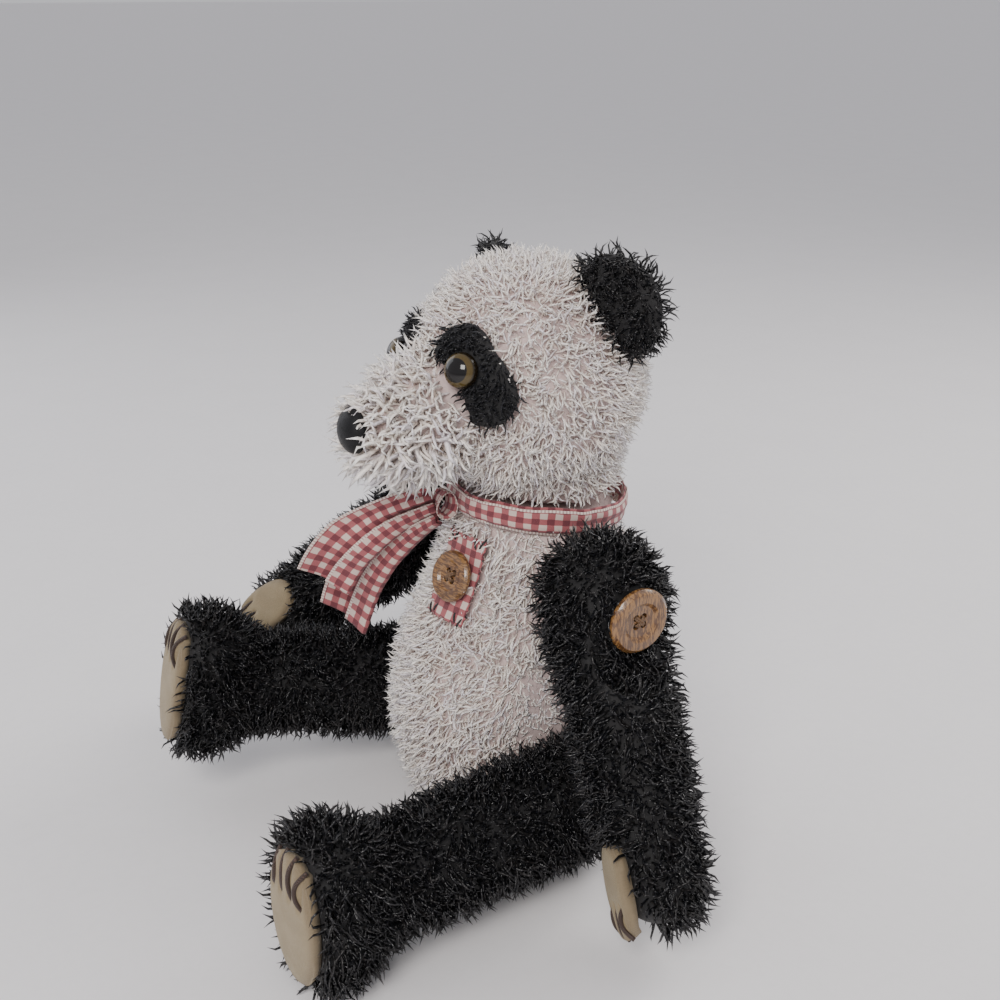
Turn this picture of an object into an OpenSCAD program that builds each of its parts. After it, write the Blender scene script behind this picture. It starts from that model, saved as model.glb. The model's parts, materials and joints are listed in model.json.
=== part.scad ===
// Sitting plush panda with turning head, arms and legs.
// Millimetres, +Z up, front towards -Y, the panda's left towards +X.
// The origin is the centre of the flat seat.

/* [Torso] */
// Height of the neck joint above the seat, along the torso's axis
torso_h = 160; // [150:1:200]
// Largest radius, at the belly
belly_r = 60; // [52:1:68]
// Height of the widest part of the belly
belly_z = 60; // [50:1:72]
// Radius of the neck, at the top of the torso
neck_r = 38; // [36:1:44]
// Width across the flattened sides that the limbs turn on
torso_w = 88; // [78:1:100]
// How far the rounded bottom would reach below the flat seat
seat_sink = 20; // [14:1:26]
// Backward lean of the torso, in degrees
lean = 5; // [0:1:8]

/* [Cloth and stuffing] */
// Thickness of the pile cloth
wall = 3; // [2:0.5:4]
// Gap between pieces that lie on each other
ease = 0.2; // [0.1:0.05:0.3]
// Gap between a limb or the head and the torso
joint_gap = 0.4; // [0.3:0.1:1]
// Radius of the pellet bag in the seat
pellet_r = 25; // [18:1:28]
// Thickness of the pellet bag
pellet_h = 24; // [16:1:30]

/* [Head] */
// Radius of the skull
skull_r = 51; // [45:1:61]
// Height of the head ball's underside over the neck seat
skull_rise = 4; // [2:0.5:8]
// How far the skull's centre is ahead of the neck's axis
skull_fwd = 12; // [6:1:16]
// Turn of the head at rest, in degrees, towards its left
head_turn = 0; // [-20:1:20]
// Forward nod of the head at rest, in degrees
head_nod = 8; // [0:1:12]
// Sideways tilt of the head at rest, in degrees
head_tilt = -6; // [-8:1:8]
// Radius of the cloth collar that the head stands on
collar_r = 34; // [30:1:35]
// Radius of the muzzle where it leaves the skull
muzzle_r = 33; // [28:1:36]
// Radius of the muzzle's end
snout_r = 18; // [14:1:20]
// Distance of the muzzle's end from the skull's centre
snout_fwd = 66; // [56:1:72]
// Drop of the muzzle's end below the skull's centre
snout_drop = 9; // [6:1:16]

/* [Face] */
// Radius of the nose
nose_r = 10; // [8:0.5:12]
// How far the nose stands out
nose_t = 8; // [6:0.5:10]
// Radius of an eye
eye_r = 7.5; // [6:0.5:9]
// How far an eye stands out
eye_t = 5; // [4:0.5:6]
// Direction of an eye, in degrees away from straight ahead
eye_az = 30; // [24:1:32]
// Direction of an eye, in degrees up
eye_el = 15; // [10:1:18]
// Width of the dark patch round an eye
eye_patch_w = 29; // [24:1:32]
// Length of the dark patch round an eye
eye_patch_l = 46; // [40:1:50]
// Slant of the dark patch, in degrees
eye_patch_tilt = 35; // [20:1:45]
// Thickness of the dark patch
eye_patch_t = 2; // [1.5:0.5:3]
// Radius of the post behind an eye or the nose
post_r = 2; // [1.5:0.25:2.5]
// Radius of the lock washer on a post
post_washer_r = 6; // [5:0.5:7]
// Thickness of the mouth thread
mouth_t = 1.4; // [1:0.2:2]

/* [Ears] */
// Radius of an ear
ear_r = 25; // [20:1:30]
// Thickness of an ear
ear_t = 13; // [10:1:16]
// How far an ear's centre is out to the side
ear_out = 46; // [42:1:52]
// How far an ear's centre is behind the skull's centre
ear_back = 18; // [0:1:20]
// How far an ear's centre is above the skull's centre
ear_up = 30; // [28:1:40]
// Outward turn of an ear, in degrees
ear_turn = 20; // [0:1:35]

/* [Arms] */
// Height of the shoulder joints along the torso's axis
shoulder_z = 134; // [124:1:134]
// How far the shoulder joints are ahead of the torso's axis
shoulder_fwd = 7; // [0:1:12]
// Radius of the rounded shoulder
shoulder_r = 27; // [24:1:30]
// Distance of the shoulder's centre from the torso's side
shoulder_out = 19; // [17:1:21]
// Radius at the elbow
elbow_r = 22; // [19:1:24]
// Distance from the shoulder's centre to the elbow
elbow_l = 54; // [44:1:64]
// Radius of the paw
paw_r = 20; // [17:1:22]
// Distance from the shoulder's centre to the paw's centre
arm_l = 118; // [100:1:124]
// Outward splay of an arm, in degrees
arm_splay = 33; // [28:1:36]
// Forward swing of the left arm at rest, in degrees
arm_swing_left = 8; // [0:1:20]
// Forward swing of the right arm at rest, in degrees
arm_swing_right = 42; // [0:1:75]
// Width of a paw pad
paw_pad_w = 24; // [20:1:26]
// Length of a paw pad
paw_pad_l = 40; // [34:1:48]
// Thickness of a paw pad
paw_pad_t = 4; // [3:0.5:5]
// Inward turn of a paw pad, in degrees
paw_pad_turn = 20; // [0:1:35]

/* [Legs] */
// Height of the hip joints above the seat
hip_z = 36; // [35:1:42]
// How far the hip joints are ahead of the seat's centre
hip_fwd = 4; // [0:1:10]
// Radius of the rounded hip
hip_r = 26; // [23:1:28]
// Distance of the hip's centre from the torso's side
hip_out = 16; // [14:1:18]
// Radius at the ankle
ankle_r = 22; // [19:1:22]
// Radius of the foot
foot_r = 24; // [23:1:26]
// Distance from the hip's centre to the foot's centre
leg_l = 126; // [110:1:136]
// How far the foot rises above the leg's axis
foot_rise = 14; // [8:1:20]
// Gap between the foot and the floor
floor_gap = 0.6; // [0.5:0.1:3]
// Upward swing of the left leg at rest, in degrees
leg_swing_left = 0; // [0:1:8]
// Upward swing of the right leg at rest, in degrees
leg_swing_right = 12; // [0:1:14]
// Outward splay of the left leg, in degrees
leg_splay_left = 5; // [0:1:7]
// Outward splay of the right leg, in degrees
leg_splay_right = 8; // [0:1:10]
// Distance of the flat sole from the foot's centre
sole_out = 14; // [12:1:16]
// Width of a sole pad
sole_w = 34; // [28:1:36]
// Length of a sole pad
sole_l = 60; // [52:1:64]
// Thickness of a sole pad
sole_t = 3; // [2:0.5:4]
// Thickness of the claw and toe threads
claw_t = 1.6; // [1.2:0.2:2]

/* [Joint hardware] */
// Radius of a limb's joint discs
disc_r = 14; // [12:1:14]
// Radius of the neck's joint discs
neck_disc_r = 24; // [20:1:28]
// Thickness of a joint disc
disc_t = 2.5; // [2:0.5:3.5]
// Radius of a joint pin
pin_r = 3; // [2.5:0.25:4]
// Radius of a pin's head and of its lock washer
pin_head_r = 8; // [6:0.5:10]
// Thickness of a pin's head and of its lock washer
pin_head_t = 1.5; // [1:0.25:2.5]
// Radial running clearance of a pin in the torso's disc
pin_clear = 0.06; // [0.03:0.01:0.1]

/* [Buttons] */
// Radius of a shoulder button
shoulder_button_r = 14; // [12:0.5:16]
// Thickness of a shoulder button
shoulder_button_t = 5; // [4:0.5:6]
// Radius of the chest button
chest_button_r = 11.5; // [9:0.5:13]
// Thickness of the chest button
chest_button_t = 4; // [3:0.5:5]
// Radius of a thread hole in a button
button_hole_r = 1.4; // [1.2:0.1:1.8]
// Distance of the thread holes from a button's centre
button_hole_out = 2.6; // [2.4:0.1:3.2]
// Radius of the wound thread under a button
shank_r = 2.4; // [1.8:0.2:3]

/* [Chest patch] */
// Width of the cloth patch
patch_w = 23; // [20:1:28]
// Length of the cloth patch
patch_l = 38; // [34:1:42]
// Height of the patch's centre along the torso's axis
patch_z = 126; // [120:1:130]
// Direction of the patch, in degrees towards the left
patch_az = 10; // [6:1:16]
// Thickness of the cloth patch
patch_t = 1; // [0.6:0.1:1.4]
// Length of a patch stitch
stitch_l = 6; // [4:0.5:8]
// Width of a patch stitch
stitch_w = 0.9; // [0.7:0.1:1.2]

/* [Ribbon] */
// Height of the folded ribbon round the neck
band_w = 11; // [8:1:13]
// How far the band reaches below the neck joint
band_drop = 7; // [5:1:9]
// Thickness of the band, two layers of ribbon
band_t = 1.6; // [1:0.2:2]
// Thickness of a single ribbon
ribbon_t = 1; // [0.8:0.1:1.4]
// Radius of the knot
knot_r = 8; // [7:0.5:9]
// Thickness of the knot
knot_t = 10; // [7:0.5:12]
// Direction of the knot, in degrees towards the left
knot_az = -10; // [-20:1:0]
// Width of a ribbon tail at the knot
tail_w0 = 12; // [10:1:16]
// Width of a ribbon tail, which is folded along its length
tail_w = 26; // [22:1:30]
// Forward and sideways reach of the front tail
front_tail_out = 52; // [44:1:58]
// Drop of the front tail
front_tail_drop = 62; // [54:1:70]
// Direction in which the front tail falls, in degrees
front_tail_az = -50; // [-58:1:-46]
// Reach of the back tail
back_tail_out = 56; // [48:1:62]
// Drop of the back tail
back_tail_drop = 42; // [36:1:48]
// Direction in which the back tail falls, in degrees
back_tail_az = -34; // [-40:1:-28]

/* [Hidden] */
skull_u = skull_r + skull_rise;

$fn = 64;
reach = 400;            // longer than anything that a cut passes through
left = 1;
right = -1;

side_x = torso_w / 2;
hip_y = -hip_fwd;
shoulder_yz = leaned_yz(-shoulder_fwd, shoulder_z);
foot_drop = hip_z - foot_r - floor_gap;

// Stack of one joint, measured outwards from the torso's face
socket_u = -(wall + ease + disc_t);
lock_u = socket_u - ease - pin_head_t;
tip_u = lock_u - 1;
limb_disc_u = joint_gap + wall + ease;
head_u = limb_disc_u + disc_t + ease;
stack_top_u = head_u + pin_head_t;
hole_r = pin_r + 0.5;

band_r = pear_r(torso_h - band_drop) + ease;
knot_out = band_r + band_t + ease + knot_t / 2;
knot_u = torso_h - 4;

snout_l = norm([snout_fwd, snout_drop]);
muzzle_dip = atan(snout_drop / snout_fwd);

// Post of an eye or the nose, and the washer that holds it
nose_el = 8;
post_l = wall + 8;
washer_u = -(wall + ease + pin_head_t + 2);

// The buttons' backs stand clear of the bowed cloth
chest_button_u = patch_t + 1.6 + 2 * ease;
chest_shank_l = 14;
recess_t = 1.2;
recess_r = button_hole_out + 2 * button_hole_r;
button_seat = shoulder_r - 3;

// ---------------------------------------------------------------- shapes

// Y and Z of a torso point after the lean
function leaned_yz(y, z) = [y * cos(lean) + z * sin(lean), z * cos(lean) - y * sin(lean)];

// Radius of the torso at a height above the belly
function pear_r(z) =
    neck_r + (belly_r - neck_r) * (1 + cos(180 * (z - belly_z) / (torso_h - belly_z))) / 2;

// Upward slope of the chest at a height, in degrees
function pear_tilt(z) = atan((pear_r(z - 1) - pear_r(z + 1)) / 2);

// Half outline of the torso, inset from the cloth's outside
function pear(inset) = concat(
    [[0, inset - seat_sink]],
    [for (a = [10 : 10 : 80])
        [(belly_r - inset) * sin(a), belly_z - (belly_z + seat_sink - inset) * cos(a)]],
    [for (z = [0 : 0.1 : 1])
        let (h = belly_z + z * (torso_h - belly_z))
        [pear_r(h) - inset, min(h, torso_h - inset)]],
    [[0, torso_h - inset]]
);

module leaned() rotate([-lean, 0, 0]) children();

// Broad seats under the arms, as one bar from side to side
module shoulder_bar(inset) translate([-side_x, shoulder_yz[0], shoulder_yz[1]]) rotate([0, 90, 0])
    cylinder(h = torso_w, r = disc_r + wall + 1 - inset);

module torso_form(inset) intersection() {
    union() {
        leaned() rotate_extrude() polygon(pear(inset));
        shoulder_bar(inset);
    }
    translate([inset - side_x, -reach / 2, inset]) cube([torso_w - 2 * inset, reach, reach]);
}

// Outline of a round-ended limb along Z, through [radius, place] pairs
function limb_outline(ends, inset) = let (a = ends[0], b = ends[len(ends) - 1]) concat(
    [for (t = [0 : 10 : 80]) [(a[0] - inset) * sin(t), a[1] - (a[0] - inset) * cos(t)]],
    [for (e = ends) [e[0] - inset, e[1]]],
    [for (t = [80 : -10 : 0]) [(b[0] - inset) * sin(t), b[1] + (b[0] - inset) * cos(t)]]
);

// Round-ended limb along Z
module limb(ends, inset) rotate_extrude() polygon(limb_outline(ends, inset));

// Flat outline with round ends, along Y
module stadium(w, l) {
    square([w, l - w], center = true);
    for (s = [-1, 1]) translate([0, s * (l - w) / 2]) circle(w / 2);
}

// Half ellipse turned round Z, centred on the origin
module lens(r, t) rotate_extrude()
    polygon([for (a = [-90 : 10 : 90]) [r * cos(a), t / 2 * sin(a)]]);

module ring(r, bore, t) difference() {
    cylinder(h = t, r = r);
    translate([0, 0, -1]) cylinder(h = t + 2, r = bore);
}

// ---------------------------------------------------------------- places

// The panda's left side as drawn, or its mirror image
module sided(side) {
    if (side > 0) children();
    else mirror([1, 0, 0]) children();
}

// Joints: +Z points out of the torso
module at_neck() leaned() translate([0, 0, torso_h]) children();
module at_shoulder(side) sided(side)
    translate([side_x, shoulder_yz[0], shoulder_yz[1]]) rotate([0, 90, 0]) children();
module at_hip(side) sided(side) translate([side_x, hip_y, hip_z]) rotate([0, 90, 0]) children();

// Arm hanging along -Z from the shoulder's centre
module arm_frame(side) sided(side) translate([side_x, shoulder_yz[0], shoulder_yz[1]])
    rotate([side > 0 ? -arm_swing_left : -arm_swing_right, 0, 0])
    translate([joint_gap + shoulder_out, 0, 0]) rotate([0, -arm_splay, 0]) children();

// Leg running along -Y from the hip's centre
module leg_frame(side) sided(side) translate([side_x + joint_gap + hip_out, hip_y, hip_z])
    rotate([side > 0 ? -leg_swing_left : -leg_swing_right, 0, 0])
    rotate([0, 0, side > 0 ? leg_splay_left : leg_splay_right]) children();

// Skull's centre, with the face towards -Y
module skull_frame() at_neck() rotate([0, 0, head_turn]) translate([0, -skull_fwd, skull_u])
    rotate([head_nod, head_tilt, 0]) children();

// A place on the skull: +Z points out of it
module on_skull(az, el) rotate([0, 0, az]) rotate([90 - el, 0, 0])
    translate([0, 0, skull_r]) children();

// The nose's place: +Z points out of the snout
module on_snout() translate([0, -snout_fwd, -snout_drop]) rotate([90 - nose_el, 0, 0])
    translate([0, 0, snout_r]) children();

// A place on the chest: +Z points out of it
module on_chest(z) leaned() rotate([0, 0, patch_az]) translate([0, -pear_r(z), z])
    rotate([90 - pear_tilt(z), 0, 0]) children();

// ---------------------------------------------------------------- joint hardware

module socket_disc(r) translate([0, 0, socket_u]) ring(r, pin_r + pin_clear, disc_t);

module limb_disc(r) color("ivory") translate([0, 0, limb_disc_u]) ring(r, pin_r + ease, disc_t);

module joint_pin() color("silver") {
    translate([0, 0, tip_u]) cylinder(h = head_u - tip_u, r = pin_r);
    translate([0, 0, head_u]) cylinder(h = pin_head_t, r = pin_head_r);
}

module lock_washer() color("dimgray") translate([0, 0, lock_u]) ring(pin_head_r, pin_r, pin_head_t);

// Room for the hardware in the torso's stuffing
module socket_room(r) translate([0, 0, tip_u - 1]) cylinder(h = -tip_u, r = r + 1);

// Room for the hardware in a limb's or the head's stuffing
module limb_room(r) cylinder(h = stack_top_u + ease, r = r + 1);

module pin_hole() translate([0, 0, tip_u]) cylinder(h = stack_top_u - tip_u, r = hole_r);

// ---------------------------------------------------------------- torso

module torso_cover() color("ivory") difference() {
    torso_form(0);
    torso_form(wall);
    for (side = [left, right]) {
        at_hip(side) pin_hole();
        at_shoulder(side) pin_hole();
    }
    at_neck() pin_hole();
    on_chest(patch_z) translate([0, 0, -wall * 2]) cylinder(h = wall * 4, r = shank_r + ease);
}

module torso_stuffing() color("white") difference() {
    torso_form(wall + ease);
    for (side = [left, right]) {
        at_hip(side) socket_room(disc_r);
        at_shoulder(side) socket_room(disc_r);
    }
    at_neck() socket_room(neck_disc_r);
    on_chest(patch_z) translate([0, 0, -chest_shank_l - ease])
        cylinder(h = chest_shank_l * 2, r = shank_r + ease);
    pellet_place() lens(pellet_r + ease, pellet_h + 2 * ease);
}

module pellet_place() translate([0, 0, wall + pellet_h / 2 + 4]) children();

module pellet_bag() color("tan") pellet_place() lens(pellet_r, pellet_h);

module limb_socket_discs() color("ivory") for (side = [left, right]) {
    at_hip(side) socket_disc(disc_r);
    at_shoulder(side) socket_disc(disc_r);
}

module neck_socket_disc() color("ivory") at_neck() socket_disc(neck_disc_r);

// ---------------------------------------------------------------- chest patch and buttons

// Layer that lies on the chest, between two heights above the cloth
module chest_layer(low, high) {
    heights = [for (k = [0.2 : 0.1 : 0.9]) belly_z + k * (torso_h - belly_z)];
    last = len(heights) - 1;
    leaned() rotate_extrude() polygon(concat(
        [for (h = heights) [pear_r(h) + high, h]],
        [for (k = [last : -1 : 0]) [pear_r(heights[k]) + low, heights[k]]]
    ));
}

// Straight block through the chest layer: place across and up from the patch's centre
module patch_block(x, up, w, l) leaned() rotate([0, 0, patch_az])
    translate([x - w / 2, -reach, patch_z + up - l / 2]) cube([w, reach, l]);

module chest_patch() color("indianred") difference() {
    intersection() {
        chest_layer(ease, ease + patch_t);
        patch_block(0, 0, patch_w, patch_l);
    }
    on_chest(patch_z) cylinder(h = wall * 4, r = shank_r + ease, center = true);
}

module patch_stitches() color("black") intersection() {
    chest_layer(ease + patch_t, ease + patch_t + stitch_w);
    for (x = [-1, 1], up = [-1, 1], across = [0, 1])
        patch_block(
            x * (patch_w / 2 - 2 - across * 3), up * (patch_l / 2 - stitch_l / 2 - 0.5 - across),
            stitch_w, stitch_l
        );
}

// Dished button on its back, with four thread holes and a recess for the shank
module button(r, t) difference() {
    rotate_extrude() polygon([
        [0, 0], [r - t / 3, 0], [r, t / 3], [r, t * 2 / 3], [r - t / 3, t],
        [r * 0.62, t], [r * 0.5, t * 0.7], [0, t * 0.7]
    ]);
    for (a = [45 : 90 : 315]) rotate([0, 0, a]) translate([button_hole_out, 0, -1])
        cylinder(h = t + 2, r = button_hole_r);
    translate([0, 0, -1]) cylinder(h = 1 + recess_t + ease, r = recess_r);
}

// Crossed thread on a button, and its wound shank behind
module button_thread(t, shank_l) {
    strand_r = button_hole_r - ease;
    top = t * 0.7;
    for (a = [45, 135]) rotate([0, 0, a])
        translate([0, 0, top + 0.6]) cube([2 * button_hole_out + strand_r, 1.6, 1.2], center = true);
    for (a = [45 : 90 : 315]) rotate([0, 0, a]) translate([button_hole_out, 0, recess_t / 2])
        cylinder(h = top + 0.6 - recess_t / 2, r = strand_r);
    cylinder(h = recess_t, r = recess_r - 2 * ease);
    translate([0, 0, -shank_l]) cylinder(h = shank_l + recess_t / 2, r = shank_r);
}

module chest_button() color("peru") on_chest(patch_z) translate([0, 0, chest_button_u])
    button(chest_button_r, chest_button_t);

module chest_button_thread() color("saddlebrown") on_chest(patch_z)
    translate([0, 0, chest_button_u]) button_thread(chest_button_t, chest_shank_l + chest_button_u);

// ---------------------------------------------------------------- ribbon

module neck_ribbon() color("indianred") leaned() translate([0, 0, torso_h - band_drop])
    ring(band_r + band_t, band_r, band_w);

module knot_frame() leaned() rotate([0, 0, knot_az]) translate([0, -knot_out, knot_u]) children();

module ribbon_knot() color("indianred") knot_frame() rotate([90, 0, 0]) lens(knot_r, knot_t);

// Side view of a falling ribbon: it reaches out first, then turns down
function fall(out, drop) = [for (t = [0 : 0.125 : 1])
    [2 * t * (1 - t) * out * 0.7 + t * t * out, -(2 * t * (1 - t) * drop * 0.25 + t * t * drop)]];

// One edge of a tail, on either side of its centre line, with its end cut on the slant
function tail_edge(curve, side, slant) = let (last = len(curve) - 1) [for (k = [0 : last])
    let (
        step = curve[min(k + 1, last)] - curve[max(k - 1, 0)],
        ahead = step / norm(step),
        half = tail_w0 / 2 + (tail_w - tail_w0) / 2 * min(1, 1.6 * k / last)
    )
    curve[k] + side * half * [-ahead[1], ahead[0]] - (k == last ? side * slant / 2 * ahead : [0, 0])];

module ribbon_tail(az, out, drop, start_up, slant) {
    curve = fall(out, drop);
    knot_yz = leaned_yz(-knot_out * cos(knot_az), knot_u);
    lower = tail_edge(curve, -1, slant);
    color("indianred") difference() {
        translate([knot_out * sin(knot_az), knot_yz[0], knot_yz[1] + start_up])
            rotate([0, 0, az - 90]) rotate([90, 0, 0]) linear_extrude(ribbon_t, center = true)
            polygon(concat(tail_edge(curve, 1, slant), [for (k = [len(lower) - 1 : -1 : 0]) lower[k]]));
        knot_frame() rotate([90, 0, 0]) lens(knot_r + 2 * ease, knot_t + 4 * ease);
        leaned() translate([0, 0, torso_h / 2]) cylinder(h = torso_h, r = band_r + band_t + ease);
    }
}

module ribbon_tail_front() ribbon_tail(front_tail_az, front_tail_out, front_tail_drop, -3, 6);

module ribbon_tail_back() ribbon_tail(back_tail_az, back_tail_out, back_tail_drop, 3, 4);

// ---------------------------------------------------------------- head

module head_form(inset) {
    at_neck() rotate([0, 0, head_turn]) translate([0, 0, joint_gap + inset])
        cylinder(h = skull_u - joint_gap - inset, r = collar_r - inset);
    skull_frame() {
        sphere(skull_r - inset);
        muzzle(inset);
    }
}

// Muzzle from the skull's centre to the snout's round end
module muzzle(inset) rotate([90 + muzzle_dip, 0, 0]) rotate_extrude() polygon(concat(
    [[0, 0], [muzzle_r - inset, 0], [muzzle_r - inset, skull_r / 2]],
    [for (t = [80 : -10 : 0])
        [(snout_r - inset) * sin(t), snout_l + (snout_r - inset) * cos(t)]]
));

module head_cover() color("ivory") difference() {
    head_form(0);
    head_form(wall);
    at_neck() pin_hole();
    skull_frame() face_posts() translate([0, 0, -post_l]) cylinder(h = post_l * 2, r = post_r + ease);
}

module head_stuffing() color("white") difference() {
    head_form(wall + ease);
    at_neck() limb_room(neck_disc_r);
    skull_frame() face_posts() {
        translate([0, 0, -post_l - ease]) cylinder(h = post_l * 2, r = post_r + ease);
        translate([0, 0, washer_u - ease]) cylinder(h = post_l, r = post_washer_r + ease);
    }
}

// The two eyes' places and the nose's
module face_posts() {
    for (side = [left, right]) on_skull(side * eye_az, eye_el) children();
    on_snout() children();
}

module face_washers() color("white") skull_frame() face_posts()
    translate([0, 0, washer_u]) ring(post_washer_r, post_r, pin_head_t);

// Domed button of an eye or nose, on a post
module domed(r, t, back_u) {
    translate([0, 0, back_u]) rotate_extrude()
        polygon(concat([[0, 0]], [for (a = [0 : 10 : 90]) [r * cos(a), t * sin(a) + (a > 0 ? 1 : 0)]]));
    translate([0, 0, -post_l]) cylinder(h = post_l + back_u, r = post_r);
}

module eye(side) color("saddlebrown") skull_frame() on_skull(side * eye_az, eye_el)
    domed(eye_r, eye_t, eye_patch_t + 2 * ease + 1.1);

module nose() color("black") skull_frame() on_snout() domed(nose_r, nose_t, ease);

module eye_patch(side) color("black") skull_frame() difference() {
    intersection() {
        difference() {
            sphere(skull_r + ease + eye_patch_t);
            sphere(skull_r + ease);
        }
        rotate([0, 0, side * (eye_az + 3)]) rotate([90 - eye_el + 2, 0, 0])
            rotate([0, 0, side * eye_patch_tilt]) linear_extrude(reach) stadium(eye_patch_w, eye_patch_l);
    }
    muzzle(-ease);
    on_skull(side * eye_az, eye_el) cylinder(h = wall * 4, r = post_r + ease, center = true);
}

module ear(side) color("black") skull_frame() difference() {
    sided(side) translate([ear_out, ear_back, ear_up]) rotate([90, 0, ear_turn]) lens(ear_r, ear_t);
    sphere(skull_r + ease);
}

// Part of a ring of thread round the snout's end, in a plane turned about the muzzle's line
module snout_thread(turn, from, to) translate([0, -snout_fwd, -snout_drop])
    rotate([0, turn, 0]) rotate([90, 0, -90]) rotate([0, 0, -to])
    rotate_extrude(angle = to - from) translate([snout_r + ease + mouth_t / 2, 0]) circle(mouth_t / 2);

// Thread that runs down from the nose and turns to both sides
module mouth_stitch() color("black") skull_frame() {
    snout_thread(0, 34, 62);
    for (side = [left, right]) snout_thread(side * 38, 66, 88);
}

module neck_disc() at_neck() limb_disc(neck_disc_r);
module neck_pin() at_neck() joint_pin();
module neck_lock_washer() at_neck() lock_washer();

// ---------------------------------------------------------------- arms

module arm_form(side, inset) intersection() {
    arm_frame(side) limb([[paw_r, -arm_l], [elbow_r, -elbow_l], [shoulder_r, 0]], inset);
    sided(side) translate([side_x + joint_gap + inset, -reach / 2, -reach / 2]) cube(reach);
}

// Flat bed of the paw pad: +Z points out of the palm, -Y to the paw's tip
module palm(side) arm_frame(side) translate([0, 0, -arm_l]) rotate([0, 0, -paw_pad_turn])
    translate([0, paw_pad_t - paw_r, paw_r - paw_pad_l / 2]) rotate([90, 0, 0]) children();

module palm_bed(side, sink) palm(side) translate([0, 0, -sink])
    linear_extrude(paw_r) stadium(paw_pad_w + 2 + 2 * sink, paw_pad_l + 4 + 2 * sink);

module on_shoulder(side) sided(side) translate([side_x + joint_gap + shoulder_out + button_seat,
    shoulder_yz[0], shoulder_yz[1]]) rotate([0, 90, 0]) children();

module arm_cover(side) color("black") difference() {
    arm_form(side, 0);
    difference() {
        arm_form(side, wall);
        palm_bed(side, wall);
        on_shoulder(side) translate([0, 0, -wall]) cylinder(h = reach, r = shoulder_r);
    }
    palm_bed(side, 0);
    at_shoulder(side) pin_hole();
    on_shoulder(side) {
        cylinder(h = reach, r = shoulder_r);
        translate([0, 0, -wall * 2]) cylinder(h = reach, r = shank_r + ease);
    }
}

module arm_stuffing(side) color("white") difference() {
    arm_form(side, wall + ease);
    palm_bed(side, wall + ease);
    at_shoulder(side) limb_room(disc_r);
    on_shoulder(side) {
        translate([0, 0, -wall - ease]) cylinder(h = reach, r = shoulder_r);
        translate([0, 0, -reach / 2]) cylinder(h = reach, r = shank_r + ease);
    }
}

module paw_pad(side) color("tan") palm(side) linear_extrude(paw_pad_t - ease)
    stadium(paw_pad_w, paw_pad_l);

module paw_stitches(side) color("saddlebrown") palm(side)
    for (k = [-1 : 1])
        translate([k * paw_pad_w / 4 - claw_t / 2, 5 + 2 * abs(k) - paw_pad_l / 2, paw_pad_t - ease])
        cube([claw_t, 9, claw_t / 2]);

module shoulder_button(side) color("peru") on_shoulder(side) translate([0, 0, ease])
    button(shoulder_button_r, shoulder_button_t);

// The thread reaches from the button to the pin's head
module shoulder_thread(side) color("saddlebrown") on_shoulder(side) translate([0, 0, ease])
    button_thread(shoulder_button_t, joint_gap + shoulder_out + button_seat - stack_top_u);

module shoulder_disc(side) at_shoulder(side) limb_disc(disc_r);
module shoulder_pin(side) at_shoulder(side) joint_pin();
module shoulder_lock_washer(side) at_shoulder(side) lock_washer();

// ---------------------------------------------------------------- legs

module leg_form(side, inset) intersection() {
    leg_frame(side) difference() {
        union() {
            rotate([90, 0, 0]) rotate_extrude() polygon(concat(
                [for (t = [0 : 10 : 80]) [(hip_r - inset) * sin(t), -(hip_r - inset) * cos(t)]],
                [[hip_r - inset, 0], [ankle_r - inset, leg_l - foot_r / 2], [0, leg_l - foot_r / 2]]
            ));
            translate([0, -leg_l, 0]) limb([[foot_r, -foot_drop], [foot_r, foot_rise]], inset);
        }
        translate([-reach / 2, -leg_l - sole_out + inset - reach, -reach / 2]) cube(reach);
    }
    sided(side) translate([side_x + joint_gap + inset, -reach / 2, -reach / 2]) cube(reach);
}

module leg_cover(side) color("black") difference() {
    leg_form(side, 0);
    leg_form(side, wall);
    at_hip(side) pin_hole();
}

module leg_stuffing(side) color("white") difference() {
    leg_form(side, wall + ease);
    at_hip(side) limb_room(disc_r);
}

// Sole: +Z points out of it, +Y up
module sole(side) leg_frame(side) translate([0, -leg_l - sole_out, (foot_rise - foot_drop) / 2])
    rotate([90, 0, 0]) children();

module sole_pad(side) color("tan") sole(side) translate([0, 0, ease])
    linear_extrude(sole_t) stadium(sole_w, sole_l);

module toe_stitches(side) color("saddlebrown") sole(side)
    for (k = [-1.5 : 1 : 1.5]) translate([k * sole_w / 5, sole_l / 2 - 10 - abs(k), ease + sole_t])
        translate([-claw_t / 2, -6, 0]) cube([claw_t, 12, claw_t / 2]);

module hip_disc(side) at_hip(side) limb_disc(disc_r);
module hip_pin(side) at_hip(side) joint_pin();
module hip_lock_washer(side) at_hip(side) lock_washer();

// ---------------------------------------------------------------- nodes

torso_cover();
torso_stuffing();
pellet_bag();
limb_socket_discs();
neck_socket_disc();
chest_patch();
patch_stitches();
chest_button();
chest_button_thread();
neck_ribbon();
ribbon_knot();
ribbon_tail_front();
ribbon_tail_back();
head_cover();
head_stuffing();
ear(left);  // ear_left
ear(right);  // ear_right
eye_patch(left);  // eye_patch_left
eye_patch(right);  // eye_patch_right
eye(left);  // eye_left
eye(right);  // eye_right
nose();
face_washers();
mouth_stitch();
neck_disc();
neck_pin();
neck_lock_washer();
arm_cover(left);  // arm_cover_left
arm_stuffing(left);  // arm_stuffing_left
paw_pad(left);  // paw_pad_left
paw_stitches(left);  // paw_stitches_left
shoulder_button(left);  // shoulder_button_left
shoulder_thread(left);  // button_thread_left
shoulder_disc(left);  // shoulder_disc_left
shoulder_pin(left);  // shoulder_pin_left
shoulder_lock_washer(left);  // shoulder_lock_washer_left
arm_cover(right);  // arm_cover_right
arm_stuffing(right);  // arm_stuffing_right
paw_pad(right);  // paw_pad_right
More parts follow.
